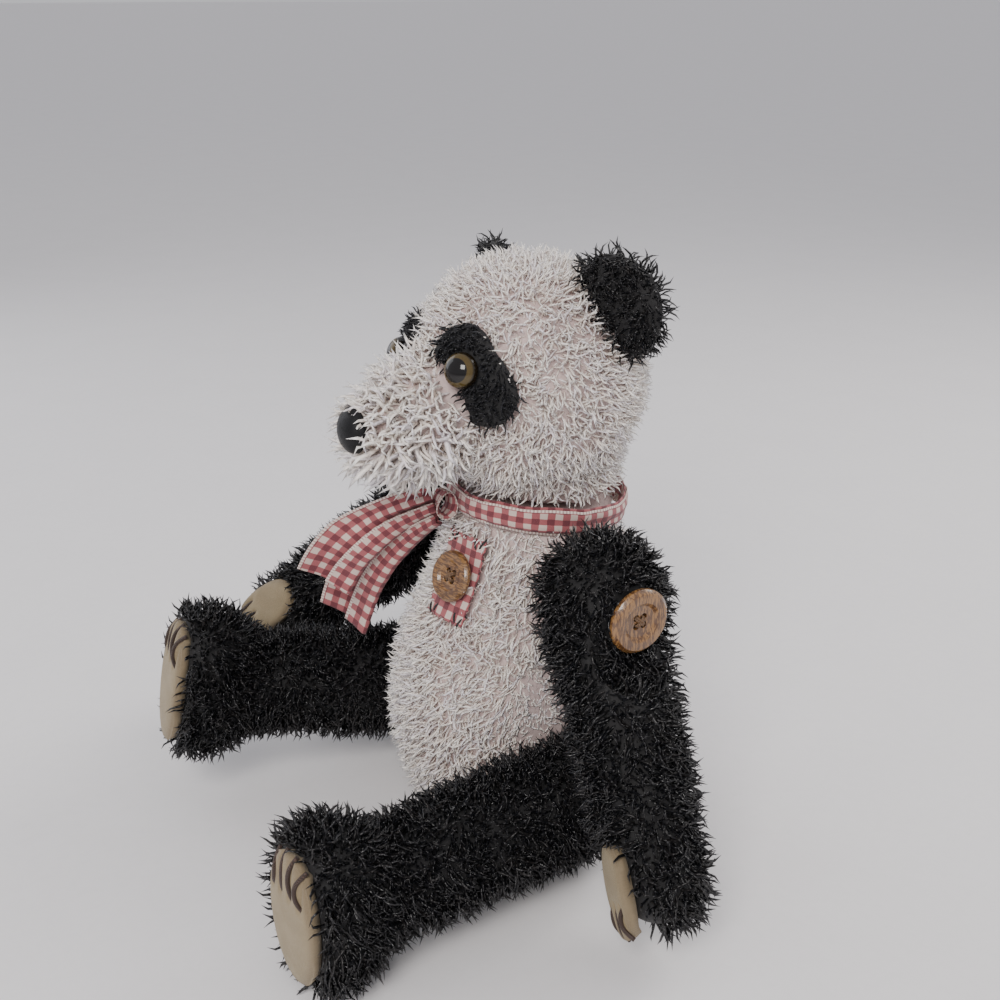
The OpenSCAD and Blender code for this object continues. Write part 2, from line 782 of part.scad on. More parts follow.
paw_stitches(right);  // paw_stitches_right
shoulder_button(right);  // shoulder_button_right
shoulder_thread(right);  // button_thread_right
shoulder_disc(right);  // shoulder_disc_right
shoulder_pin(right);  // shoulder_pin_right
shoulder_lock_washer(right);  // shoulder_lock_washer_right
leg_cover(left);  // leg_cover_left
leg_stuffing(left);  // leg_stuffing_left
sole_pad(left);  // sole_pad_left
toe_stitches(left);  // toe_stitches_left
hip_disc(left);  // hip_disc_left
hip_pin(left);  // hip_pin_left
hip_lock_washer(left);  // hip_lock_washer_left
leg_cover(right);  // leg_cover_right
leg_stuffing(right);  // leg_stuffing_right
sole_pad(right);  // sole_pad_right
toe_stitches(right);  // toe_stitches_right
hip_disc(right);  // hip_disc_right
hip_pin(right);  // hip_pin_right
hip_lock_washer(right);  // hip_lock_washer_right
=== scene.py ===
import json
import math
import random
import bpy
import numpy as np
from mathutils import Matrix, Vector, noise

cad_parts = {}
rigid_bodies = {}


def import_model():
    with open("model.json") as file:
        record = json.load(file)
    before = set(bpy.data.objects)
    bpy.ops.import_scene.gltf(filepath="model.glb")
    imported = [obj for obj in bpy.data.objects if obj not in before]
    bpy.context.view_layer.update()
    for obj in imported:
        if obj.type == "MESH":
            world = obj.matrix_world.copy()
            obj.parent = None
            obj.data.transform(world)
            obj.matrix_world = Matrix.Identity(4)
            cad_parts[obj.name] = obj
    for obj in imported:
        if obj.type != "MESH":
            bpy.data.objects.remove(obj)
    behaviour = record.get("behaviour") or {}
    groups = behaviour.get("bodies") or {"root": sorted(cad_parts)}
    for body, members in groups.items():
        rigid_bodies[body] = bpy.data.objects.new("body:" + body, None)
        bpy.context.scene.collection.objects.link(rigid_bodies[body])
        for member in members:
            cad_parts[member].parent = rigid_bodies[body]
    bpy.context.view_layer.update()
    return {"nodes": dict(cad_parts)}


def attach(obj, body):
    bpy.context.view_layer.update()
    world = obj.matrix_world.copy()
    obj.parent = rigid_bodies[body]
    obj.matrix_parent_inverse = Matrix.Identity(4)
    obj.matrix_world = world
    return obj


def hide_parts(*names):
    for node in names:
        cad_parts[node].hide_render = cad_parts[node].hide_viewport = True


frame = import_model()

scene = bpy.context.scene
left = 1
right = -1
sideNames = {left: "left", right: "right"}

# Sizes are in millimetres, as on the cutting plan.
mm = 0.001

bodySizes = {
    "lean": 5, "torsoHeight": 160, "bellyRadius": 60, "bellyHeight": 60, "neckRadius": 38,
    "halfWidth": 44, "skullRadius": 51, "skinInset": 3, "skinVoxel": 4, "swell": 1.6,
}


# ---- places

def turn(axis, degrees):
    return Matrix.Rotation(math.radians(degrees), 4, axis)


def shift(x, y, z):
    return Matrix.Translation((x * mm, y * mm, z * mm))


def sided(side):
    return Matrix.Diagonal((side, 1, 1, 1))


leaned = turn("X", -bodySizes["lean"])
neckPlace = leaned @ shift(0, 0, bodySizes["torsoHeight"])
skull = neckPlace @ shift(0, -12, 55) @ turn("Y", -6) @ turn("X", 8)
snout = skull @ shift(0, -66, -9) @ turn("X", 82) @ shift(0, 0, 18)
shoulderSpot = (44, 4.706, 134.1)
hipSpot = (44, -4, 36)


def onSkull(azimuth, elevation):
    out = shift(0, 0, bodySizes["skullRadius"])
    return skull @ turn("Z", azimuth) @ turn("X", 90 - elevation) @ out


def pearRadius(z):
    low, high = bodySizes["neckRadius"], bodySizes["bellyRadius"]
    share = (z - bodySizes["bellyHeight"]) / (bodySizes["torsoHeight"] - bodySizes["bellyHeight"])
    return low + (high - low) * (1 + math.cos(math.pi * share)) / 2


def onChest(z, azimuth=10, across=0):
    slope = math.degrees(math.atan((pearRadius(z - 1) - pearRadius(z + 1)) / 2))
    aside = math.degrees(across / pearRadius(z))
    front = shift(0, -pearRadius(z), z)
    return leaned @ turn("Z", azimuth + aside) @ front @ turn("X", 90 - slope)


armPose = {left: 8, right: 42}
legPose = {left: (0, 5), right: (12, 8)}


def armFrame(side):
    swung = sided(side) @ shift(*shoulderSpot) @ turn("X", -armPose[side])
    return swung @ shift(19.4, 0, 0) @ turn("Y", -33)


def palmFrame(side):
    return armFrame(side) @ shift(0, 0, -118) @ turn("Z", -20) @ shift(0, -16, 0) @ turn("X", 90)


def buttonFrame(side):
    return sided(side) @ shift(87.4, *shoulderSpot[1:]) @ turn("Y", 90)


def legFrame(side):
    swing, splay = legPose[side]
    return sided(side) @ shift(60.4, *hipSpot[1:]) @ turn("X", -swing) @ turn("Z", splay)


def soleFrame(side):
    return legFrame(side) @ shift(0, -140, 1.3) @ turn("X", 90)


knotFrame = leaned @ turn("Z", -10) @ shift(0, -45.27, 156)


# ---- small helpers

def pickOnly(piece):
    bpy.ops.object.select_all(action="DESELECT")
    piece.select_set(True)
    bpy.context.view_layer.objects.active = piece


def editAll(piece):
    pickOnly(piece)
    scene.tool_settings.mesh_select_mode = (True, False, False)
    bpy.ops.object.mode_set(mode="EDIT")
    bpy.ops.mesh.select_all(action="SELECT")


def editDone():
    bpy.ops.object.mode_set(mode="OBJECT")


# Edit mode with only the given points or faces picked.
def editPicked(piece, part, picked):
    pickOnly(piece)
    byPoint = part == "vertices"
    for kind in ("vertices", "edges", "polygons"):
        items = getattr(piece.data, kind)
        items.foreach_set("select", picked if kind == part else [False] * len(items))
    scene.tool_settings.mesh_select_mode = (byPoint, False, not byPoint)
    bpy.ops.object.mode_set(mode="EDIT")


def pointsOf(piece):
    co = np.zeros(len(piece.data.vertices) * 3)
    piece.data.vertices.foreach_get("co", co)
    return co.reshape(-1, 3)


def movePoints(piece, points):
    piece.data.vertices.foreach_set("co", np.asarray(points, float).ravel())
    piece.data.update()


def inFrame(points, place):
    back = np.array(place.inverted())
    return (points @ back[:3, :3].T + back[:3, 3]) / mm


def applyLast(piece):
    pickOnly(piece)
    bpy.ops.object.modifier_apply(modifier=piece.modifiers[-1].name)


def addModifier(piece, kind, **settings):
    pickOnly(piece)
    bpy.ops.object.modifier_add(type=kind)
    for name, value in settings.items():
        setattr(piece.modifiers[-1], name, value)
    applyLast(piece)


def smooth(piece):
    pickOnly(piece)
    bpy.ops.object.shade_smooth()


# The mesh takes the place, and its points remember where they lie on the piece, in millimetres.
def settle(piece, place, keepPoints=True):
    if keepPoints and "local" not in piece.data.attributes:
        spots = piece.data.attributes.new("local", "FLOAT_VECTOR", "POINT")
        spots.data.foreach_set("vector", (pointsOf(piece) / mm).astype(np.float32).ravel())
    piece.data.transform(place)
    piece.matrix_world = Matrix.Identity(4)
    if place.determinant() < 0:
        piece.data.flip_normals()
    return piece


def dress(piece, body, finish, nodes=()):
    piece.data.materials.clear()
    piece.data.materials.append(finish)
    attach(piece, body)
    if nodes:
        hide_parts(*nodes)
    return piece


# A grid of rows and columns whose points a rule then places, one after another.
def ruledSheet(name, columns, rows, rule, thickness, closed=False):
    bpy.ops.object.select_all(action="DESELECT")
    bpy.ops.mesh.primitive_grid_add(x_subdivisions=columns, y_subdivisions=rows, size=2)
    piece = bpy.context.object
    piece.name = name
    flat = pointsOf(piece)
    spots = np.array([rule((x + 1) / 2, (y + 1) / 2) for x, y, z in flat])
    cloth = piece.data.attributes.new("local", "FLOAT_VECTOR", "POINT")
    cloth.data.foreach_set("vector", spots[:, 3:6].astype(np.float32).ravel())
    movePoints(piece, spots[:, :3] * mm)
    if closed:
        editAll(piece)
        bpy.ops.mesh.remove_doubles(threshold=0.02 * mm)
        bpy.ops.mesh.normals_make_consistent(inside=False)
        editDone()
    if thickness:
        addModifier(piece, "SOLIDIFY", thickness=thickness * mm, offset=0)
    smooth(piece)
    return piece


# Thread laid through a few points.
def threadTube(name, runs, radius, place=Matrix.Identity(4), sides=2):
    line = bpy.data.curves.new(name, "CURVE")
    line.dimensions = "3D"
    line.bevel_depth = radius * mm
    line.bevel_resolution = sides
    line.resolution_u = 6
    line.use_fill_caps = True
    for run in runs:
        strand = line.splines.new("NURBS")
        strand.points.add(len(run) - 1)
        for point, spot in zip(strand.points, run):
            point.co = (spot[0] * mm, spot[1] * mm, spot[2] * mm, 1)
        strand.use_endpoint_u = True
        strand.order_u = min(4, len(run))
    piece = bpy.data.objects.new(name, line)
    scene.collection.objects.link(piece)
    pickOnly(piece)
    bpy.ops.object.convert(target="MESH")
    piece = bpy.context.object
    editAll(piece)
    bpy.ops.mesh.remove_doubles(threshold=0.01 * mm)
    bpy.ops.mesh.normals_make_consistent(inside=False)
    editDone()
    smooth(piece)
    return settle(piece, place)


# ---- finishes

class Nodes:
    def __init__(self, tree):
        self.tree = tree

    def add(self, kind, **settings):
        node = self.tree.nodes.new(kind)
        for name, value in settings.items():
            if name.startswith("in_"):
                key = name[3:]
                socket = node.inputs[int(key)] if key.isdigit() else node.inputs[key]
                self.feed(socket, value)
            else:
                setattr(node, name, value)
        return node

    def feed(self, socket, value):
        if isinstance(value, bpy.types.NodeSocket):
            self.tree.links.new(value, socket)
        elif isinstance(value, tuple) and len(value) == 3 and socket.type == "RGBA":
            socket.default_value = (*value, 1)
        else:
            socket.default_value = value

    def math(self, operation, a, b=0.0, clamp=False):
        node = self.add("ShaderNodeMath", operation=operation, use_clamp=clamp)
        self.feed(node.inputs[0], a)
        self.feed(node.inputs[1], b)
        return node.outputs[0]

    def mix(self, share, a, b, blend="MIX"):
        node = self.add("ShaderNodeMix", data_type="RGBA", blend_type=blend)
        self.feed(node.inputs[0], share)
        self.feed(node.inputs[6], a)
        self.feed(node.inputs[7], b)
        return node.outputs[2]

    def soft(self, value, low, high, outLow=0.0, outHigh=1.0):
        node = self.add("ShaderNodeMapRange", interpolation_type="SMOOTHSTEP")
        self.feed(node.inputs[0], value)
        self.feed(node.inputs[1], low)
        self.feed(node.inputs[2], high)
        self.feed(node.inputs[3], outLow)
        self.feed(node.inputs[4], outHigh)
        return node.outputs[0]

    def noise(self, where, scale, detail=3.0, rough=0.5):
        node = self.add("ShaderNodeTexNoise")
        self.feed(node.inputs["Vector"], where)
        self.feed(node.inputs["Scale"], scale)
        self.feed(node.inputs["Detail"], detail)
        self.feed(node.inputs["Roughness"], rough)
        return node.outputs[0]

    def parts(self, vector):
        node = self.add("ShaderNodeSeparateXYZ")
        self.feed(node.inputs[0], vector)
        return node.outputs

    def attribute(self, name, kind="Fac"):
        return self.add("ShaderNodeAttribute", attribute_name=name).outputs[kind]

    def place(self):
        return self.add("ShaderNodeTexCoord").outputs["Object"]

    def bump(self, height, depth, strength=1.0):
        node = self.add("ShaderNodeBump")
        self.feed(node.inputs["Strength"], strength)
        self.feed(node.inputs["Distance"], depth * mm)
        self.feed(node.inputs["Height"], height)
        return node.outputs[0]


def newGroup(name, inputs, outputs):
    tree = bpy.data.node_groups.new(name, "ShaderNodeTree")
    for label, kind, value in inputs:
        socket = tree.interface.new_socket(label, in_out="INPUT", socket_type=kind)
        socket.default_value = value
    for label, kind in outputs:
        tree.interface.new_socket(label, in_out="OUTPUT", socket_type=kind)
    net = Nodes(tree)
    return net, net.add("NodeGroupInput").outputs, net.add("NodeGroupOutput").inputs


def useGroup(net, group, **values):
    node = net.add("ShaderNodeGroup", node_tree=group)
    for name, value in values.items():
        net.feed(node.inputs[name], value)
    return node.outputs


def makeFibreGrain():
    net, given, result = newGroup(
        "fibreGrain",
        [("Where", "NodeSocketVector", (0, 0, 0)), ("Scale", "NodeSocketFloat", 200.0),
         ("Base", "NodeSocketColor", (1, 1, 1, 1)), ("Fleck", "NodeSocketColor", (0, 0, 0, 1)),
         ("Amount", "NodeSocketFloat", 0.4)],
        [("Color", "NodeSocketColor"), ("Height", "NodeSocketFloat"),
         ("Dull", "NodeSocketFloat")],
    )
    fine = net.noise(given["Where"], given["Scale"], 5.0, 0.7)
    broad = net.noise(given["Where"], net.math("MULTIPLY", given["Scale"], 0.12), 3.0)
    speck = net.soft(fine, 0.42, 0.66)
    share = net.math("MULTIPLY", given["Amount"], speck)
    shaded = net.mix(share, given["Base"], given["Fleck"])
    broadShare = net.math("MULTIPLY", net.soft(broad, 0.35, 0.7), 0.25)
    net.feed(result["Color"], net.mix(broadShare, shaded, given["Fleck"]))
    net.feed(result["Height"], fine)
    net.feed(result["Dull"], net.math("ADD", net.math("MULTIPLY", fine, 0.25), 0.62))
    return net.tree


def makeWoven():
    net, given, result = newGroup(
        "woven",
        [("Where", "NodeSocketVector", (0, 0, 0)), ("Pitch", "NodeSocketFloat", 0.45)],
        [("Height", "NodeSocketFloat"), ("Shade", "NodeSocketFloat")],
    )
    across, along, up = net.parts(given["Where"])
    turnShare = net.math("DIVIDE", math.pi, given["Pitch"])
    waveX = net.math("SINE", net.math("MULTIPLY", across, turnShare))
    waveY = net.math("SINE", net.math("MULTIPLY", along, turnShare))
    crossed = net.math("MULTIPLY", waveX, waveY)
    flatX = net.math("ABSOLUTE", waveX)
    flatY = net.math("ABSOLUTE", waveY)
    height = net.math("ADD", net.math("MULTIPLY", crossed, 0.5), net.math("MULTIPLY", flatX, flatY))
    net.feed(result["Height"], height)
    # Shade is painted shade: darker where the weave lies low between threads.
    net.feed(result["Shade"], net.soft(height, -0.3, 1.0, 0.78, 1.0))
    return net.tree


fibreGrain = makeFibreGrain()
woven = makeWoven()


def newFinish(name, **constants):
    finish = bpy.data.materials.new(name)
    finish.use_nodes = True
    net = Nodes(finish.node_tree)
    shader = finish.node_tree.nodes["Principled BSDF"]
    for label, value in constants.items():
        net.feed(shader.inputs[label.replace("_", " ")], value)
    return finish, net, shader.inputs


# Curly pile: painted shade makes each curl darker at the root and lighter at the tip; each curl has its
# own tint and gloss.
def pileFinish(name, root, middle, tip, cool, gloss, sheen, sheenTint):
    finish, net, out = newFinish(
        name, Sheen_Weight=sheen, Sheen_Roughness=0.35, Sheen_Tint=(*sheenTint, 1),
        Specular_IOR_Level=0.62,
    )
    along = net.attribute("along")
    tone = net.attribute("tone")
    # Painted shade: the root colour darkens each curl towards the skin and fades out towards its tip.
    low = net.mix(net.soft(along, 0.0, 0.45), root, middle)
    high = net.mix(net.soft(along, 0.45, 1.0), low, tip)
    shaded = net.mix(net.math("MULTIPLY", net.soft(tone, 0.55, 1.0), 0.7), high, cool)
    patchy = net.noise(net.place(), 90.0, 2.0)
    deep = net.mix(net.soft(patchy, 0.4, 0.75), shaded, net.mix(0.35, shaded, root))
    net.feed(out["Base Color"], deep)
    net.feed(out["Roughness"], net.soft(tone, 0.0, 1.0, gloss[0], gloss[1]))
    twist = net.math("SINE", net.math("MULTIPLY", along, 26.0))
    net.feed(out["Normal"], net.bump(twist, 0.12))
    return finish


def backingFinish(name, base, fleck):
    finish, net, out = newFinish(name, Sheen_Weight=0.08, Sheen_Roughness=0.5)
    knit = useGroup(net, fibreGrain, Where=net.place(), Scale=420.0, Base=base, Fleck=fleck)
    net.feed(out["Base Color"], knit["Color"])
    net.feed(out["Roughness"], knit["Dull"])
    net.feed(out["Normal"], net.bump(knit["Height"], 0.4))
    return finish


# The first colour of each pile is painted shade at the curls' roots.
whitePile = pileFinish(
    "creamCurls", (0.74, 0.62, 0.55), (0.97, 0.90, 0.83), (0.99, 0.97, 0.93),
    (0.86, 0.82, 0.92), (0.14, 0.40), 0.5, (1.0, 0.96, 0.92))
blackPile = pileFinish(
    "blackCurls", (0.0015, 0.0015, 0.002), (0.004, 0.004, 0.005), (0.010, 0.009, 0.011),
    (0.012, 0.009, 0.008), (0.25, 0.45), 0.02, (0.55, 0.6, 0.8))
shortPile = pileFinish(
    "shortBlackCurls", (0.002, 0.002, 0.003), (0.005, 0.005, 0.007), (0.010, 0.010, 0.014),
    (0.008, 0.008, 0.013), (0.35, 0.55), 0.02, (0.6, 0.65, 0.8))
whiteBacking = backingFinish("creamKnit", (0.60, 0.48, 0.46), (0.46, 0.34, 0.33))
blackBacking = backingFinish("blackKnit", (0.006, 0.006, 0.007), (0.016, 0.014, 0.015))


def suedeFinish():
    finish, net, out = newFinish("tanSuede", Sheen_Weight=0.2, Sheen_Roughness=0.6,
                                 Sheen_Tint=(1.0, 0.93, 0.8, 1))
    where = net.attribute("local", "Vector")
    nap = useGroup(net, fibreGrain, Where=where, Scale=1.6, Base=(0.25, 0.19, 0.105),
                   Fleck=(0.15, 0.11, 0.06), Amount=0.5)
    # Lighter brushed patches are a painted highlight on the nap; the same noise also raises the nap's
    # bump.
    brushedHighlight = net.soft(net.noise(where, 0.09, 4.0, 0.6), 0.38, 0.66)
    colour = net.mix(net.math("MULTIPLY", brushedHighlight, 0.5), nap["Color"], (0.31, 0.245, 0.145))
    # The suede darkens towards the pad's rim.
    rimDarkening = net.soft(net.attribute("edge"), 0.80, 1.0, 0.0, 0.6)
    net.feed(out["Base Color"], net.mix(rimDarkening, colour, (0.17, 0.125, 0.075)))
    net.feed(out["Roughness"], nap["Dull"])
    creased = net.math("ADD", nap["Height"], net.math("MULTIPLY", brushedHighlight, 0.5))
    net.feed(out["Normal"], net.bump(creased, 0.35))
    return finish


def threadFinish(name, base, light, gloss):
    finish, net, out = newFinish(name, Sheen_Weight=0.15, Sheen_Roughness=0.4)
    twist = net.add("ShaderNodeTexWave", bands_direction="DIAGONAL", in_Scale=1.4,
                    in_Distortion=1.5)
    net.feed(twist.inputs["Vector"], net.attribute("local", "Vector"))
    strands = net.soft(twist.outputs["Fac"], 0.1, 0.8)
    net.feed(out["Base Color"], net.mix(strands, base, light))
    net.feed(out["Roughness"], net.soft(strands, 0.0, 1.0, gloss + 0.25, gloss))
    net.feed(out["Normal"], net.bump(strands, 0.25))
    return finish


# Checks of three shades, a cream edge with small loops, and the weave, with painted shade in its low
# places.
def ginghamFinish(name, halfWidth, check=3.2):
    finish, net, out = newFinish(name, Sheen_Weight=0.2, Sheen_Roughness=0.5)
    where = net.attribute("local", "Vector")
    across, along, up = net.parts(where)
    wobble = net.math("MULTIPLY", net.noise(where, 0.22, 2.0), 0.8)
    stripes = []
    for value in (across, along):
        share = net.math("DIVIDE", net.math("ADD", value, wobble), 2 * check)
        saw = net.math("ABSOLUTE", net.math("SUBTRACT", net.math("FRACT", share), 0.5))
        stripes.append(net.soft(saw, 0.235, 0.265))
    both = net.math("MULTIPLY", stripes[0], stripes[1])
    either = net.math("MAXIMUM", stripes[0], stripes[1])
    weave = useGroup(net, woven, Where=where, Pitch=0.42)
    paired = net.mix(either, (0.74, 0.59, 0.52), (0.40, 0.095, 0.105))
    dark = net.mix(both, paired, (0.155, 0.012, 0.026))
    edge = net.soft(net.math("ABSOLUTE", across), halfWidth - 1.5, halfWidth - 1.1)
    loops = net.math("SINE", net.math("MULTIPLY", along, 4.2))
    picot = net.mix(net.soft(loops, -0.6, 0.4), (0.55, 0.36, 0.33), (0.86, 0.76, 0.68))
    trimmed = net.mix(edge, dark, picot)
    threads = net.noise(where, 3.0, 3.0)
    faded = net.mix(net.soft(threads, 0.35, 0.8, 0.0, 0.12), trimmed, (0.72, 0.52, 0.48))
    # The weave's painted shade is multiplied into the colour.
    shade = net.add("ShaderNodeCombineColor", in_0=weave["Shade"], in_1=weave["Shade"],
                    in_2=weave["Shade"])
    net.feed(out["Base Color"], net.mix(1.0, faded, shade.outputs[0], "MULTIPLY"))
    net.feed(out["Roughness"], net.soft(threads, 0.3, 0.8, 0.6, 0.85))
    net.feed(out["Normal"], net.bump(weave["Height"], 0.09))
    return finish


def woodFinish():
    finish, net, out = newFinish("buttonWood", Coat_Weight=0.75, Coat_Roughness=0.12)
    where = net.attribute("local", "Vector")
    stretched = net.add("ShaderNodeMapping", in_Vector=where, in_Scale=(0.16, 1.0, 0.5),
                        in_Rotation=(0, 0, 0.7))
    warped = net.noise(stretched.outputs[0], 0.5, 4.0, 0.6)
    rings = net.math("SINE", net.math("MULTIPLY", warped, 34.0))
    pores = net.noise(stretched.outputs[0], 3.5, 5.0, 0.7)
    base = net.mix(net.soft(rings, -0.9, 0.9), (0.085, 0.034, 0.010), (0.27, 0.135, 0.042))
    colour = net.mix(net.soft(pores, 0.52, 0.72, 0.0, 0.65), base, (0.055, 0.02, 0.008))
    net.feed(out["Base Color"], colour)
    net.feed(out["Roughness"], net.soft(pores, 0.3, 0.8, 0.28, 0.5))
    net.feed(out["Normal"], net.bump(pores, 0.12))
    return finish


# Amber glass-like ring round a dark pupil.
def eyeFinish():
    finish, net, out = newFinish("amberEye", Coat_Weight=0.35, Coat_Roughness=0.03,
                                 Specular_IOR_Level=0.3)
    where = net.attribute("local", "Vector")
    x, y, z = net.parts(where)
    squared = net.math("ADD", net.math("MULTIPLY", x, x), net.math("MULTIPLY", y, y))
    radius = net.math("SQRT", squared)
    angle = net.math("ARCTAN2", y, x)
    spokes = net.add("ShaderNodeCombineXYZ", in_0=net.math("MULTIPLY", angle, 5.0), in_1=radius)
    streak = net.noise(spokes.outputs[0], 2.4, 4.0, 0.6)
    ring = net.mix(streak, (0.035, 0.022, 0.006), (0.105, 0.072, 0.02))
    pupil = net.soft(radius, 4.8, 5.1)
    rim = net.soft(radius, 6.4, 7.1)
    colour = net.mix(pupil, (0.003, 0.002, 0.002), ring)
    net.feed(out["Base Color"], net.mix(rim, colour, (0.012, 0.008, 0.004)))
    net.feed(out["Roughness"], net.soft(streak, 0.2, 0.8, 0.06, 0.16))
    return finish


def noseFinish():
    finish, net, out = newFinish("matteNose", Coat_Weight=0.02, Coat_Roughness=0.5,
                                 Specular_IOR_Level=0.2)
    where = net.attribute("local", "Vector")
    grain = useGroup(net, fibreGrain, Where=where, Scale=2.2, Base=(0.006, 0.006, 0.007),
                     Fleck=(0.016, 0.015, 0.016), Amount=0.6)
    net.feed(out["Base Color"], grain["Color"])
    scuffs = net.soft(net.noise(where, 0.5, 4.0), 0.5, 0.75, 0.42, 0.6)
    net.feed(out["Roughness"], scuffs)
    net.feed(out["Normal"], net.bump(grain["Height"], 0.10))
    return finish


# Parts inside the body, which only show when it is taken apart.
def innerFinish(name, base, fleck, scale, depth, metal=0.0, rough=(0.4, 0.6)):
    finish, net, out = newFinish(name, Metallic=metal)
    grain = useGroup(net, fibreGrain, Where=net.place(), Scale=scale, Base=base, Fleck=fleck,
                     Amount=0.35)
    net.feed(out["Base Color"], grain["Color"])
    net.feed(out["Roughness"], net.soft(grain["Height"], 0.3, 0.7, rough[0], rough[1]))
    net.feed(out["Normal"], net.bump(grain["Height"], depth))
    return finish


suede = suedeFinish()
clawThread = threadFinish("clawThread", (0.022, 0.010, 0.006), (0.060, 0.028, 0.017), 0.45)
blackThread = threadFinish("blackThread", (0.004, 0.004, 0.005), (0.020, 0.019, 0.022), 0.45)
buttonThread = threadFinish("buttonThread", (0.10, 0.05, 0.022), (0.24, 0.13, 0.06), 0.5)
ribbonGingham = ginghamFinish("ribbonGingham", 19)
patchGingham = ginghamFinish("patchGingham", 40)
wood = woodFinish()
eyeGloss = eyeFinish()
noseMatte = noseFinish()
stuffingFibre = innerFinish("fibreFilling", (0.86, 0.85, 0.82), (0.62, 0.61, 0.58), 260, 0.8)
pelletCloth = innerFinish("pelletCloth", (0.58, 0.47, 0.31), (0.38, 0.29, 0.18), 900, 0.3)
discPlastic = innerFinish("discPlastic", (0.72, 0.70, 0.64), (0.6, 0.57, 0.5), 500, 0.05)
pinSteel = innerFinish("pinSteel", (0.60, 0.60, 0.61), (0.42, 0.42, 0.43), 700, 0.04, 1.0,
                       (0.22, 0.4))
washerPlastic = innerFinish("washerPlastic", (0.70, 0.69, 0.66), (0.5, 0.49, 0.46), 600, 0.05)
print("finishes made")


# ---- skins

# A copy of a part of the model, its triangles joined.
def copyNode(node, name):
    piece = bpy.data.objects.new(name, frame["nodes"][node].data.copy())
    scene.collection.objects.link(piece)
    piece.data.materials.clear()
    editAll(piece)
    bpy.ops.mesh.remove_doubles(threshold=0.005 * mm)
    editDone()
    return piece


# Balls that close a cover's holes, so that remeshing keeps its outer side alone.
def plugHoles(piece, spots):
    for place, radius in spots:
        bpy.ops.object.select_all(action="DESELECT")
        bpy.ops.mesh.primitive_ico_sphere_add(
            subdivisions=2, radius=radius * mm, location=place.translation)
        piece.select_set(True)
        bpy.context.view_layer.objects.active = piece
        bpy.ops.object.join()


# Stuffing presses the cloth out a little.
def plump(piece, cap):
    before = pointsOf(piece)
    pickOnly(piece)
    bpy.ops.object.modifier_add(type="CLOTH")
    cloth = piece.modifiers[-1]
    cloth.settings.use_pressure = True
    cloth.settings.uniform_pressure_force = 4
    cloth.settings.effector_weights.gravity = 0
    cloth.settings.quality = 3
    cloth.point_cache.frame_start = 1
    cloth.point_cache.frame_end = 20
    for step in range(1, 21):
        scene.frame_set(step)
    applyLast(piece)
    scene.frame_set(1)
    moved = pointsOf(piece) - before
    moved -= moved.mean(axis=0)
    far = np.linalg.norm(moved, axis=1, keepdims=True)
    capped = moved * np.minimum(1, cap * mm / np.maximum(far, 1e-9))
    movePoints(piece, before + capped)


# A cover's outer side. Its stuffing is joined to it first, so the skin is closed even where the
# CAD cover is open, as the arm covers are below their buttons.
def makeSkin(node, name, voxel, inset, holes=()):
    piece = copyNode(node, name)
    filling = copyNode(node.replace("cover", "stuffing"), f"{name}_core")
    pickOnly(filling)
    piece.select_set(True)
    bpy.context.view_layer.objects.active = piece
    bpy.ops.object.join()
    plugHoles(piece, holes)
    addModifier(piece, "REMESH", mode="VOXEL", voxel_size=voxel * mm)
    addModifier(piece, "DISPLACE", strength=-inset * mm, mid_level=0)
    addModifier(piece, "SMOOTH", factor=0.5, iterations=2)
    plump(piece, bodySizes["swell"])
    addModifier(piece, "SUBSURF", levels=1, render_levels=1)
    points = pointsOf(piece)
    points[:, 2] = np.maximum(points[:, 2], 0.8 * mm)
    movePoints(piece, points)
    smooth(piece)
    print(name, "is", *(round(side / mm) for side in piece.dimensions), "mm with",
          len(points), "points")
    return piece


# ---- curls

random.seed(7)
curlShapes = {"count": 6, "rings": 3, "length": 10, "radius": 0.62}


# Six curls, each a three-sided strand that bends its own way.
def makeCurls(name, length, radius, bend):
    group = bpy.data.collections.new(name)
    for number in range(curlShapes["count"]):
        bpy.ops.object.select_all(action="DESELECT")
        bpy.ops.mesh.primitive_circle_add(vertices=3, radius=radius * mm, fill_type="NOTHING")
        curl = bpy.context.object
        curl.name = f"{name}{number}"
        editAll(curl)
        for step in range(curlShapes["rings"]):
            bpy.ops.mesh.extrude_region_move(
                TRANSFORM_OT_translate={"value": (0, 0, length * mm / 3)})
        editDone()
        heading = random.uniform(0, math.tau)
        sway = random.uniform(0.7, 1.3) * bend
        points = pointsOf(curl)
        thick = (0.85, 1.15, 0.9, 0.02)
        for ring in range(curlShapes["rings"] + 1):
            share = ring / curlShapes["rings"]
            swing = heading + share * 2.6
            centre = np.array([
                math.cos(swing) * sway * share * length, math.sin(swing) * sway * share * length,
                length * share * (1 - 0.18 * share)]) * mm
            rows = slice(ring * 3, ring * 3 + 3)
            middle = points[rows].mean(axis=0)
            points[rows] = (points[rows] - middle) * thick[ring] + centre
        movePoints(curl, points)
        pickOnly(curl)
        bpy.ops.object.mode_set(mode="EDIT")
        bpy.ops.mesh.merge(type="CENTER")
        bpy.ops.mesh.select_all(action="SELECT")
        bpy.ops.mesh.normals_make_consistent(inside=False)
        editDone()
        heights = pointsOf(curl)[:, 2]
        along = curl.data.attributes.new("along", "FLOAT", "POINT")
        along.data.foreach_set("value", (heights / heights.max()).astype(np.float32))
        smooth(curl)
        scene.collection.objects.unlink(curl)
        group.objects.link(curl)
    return group


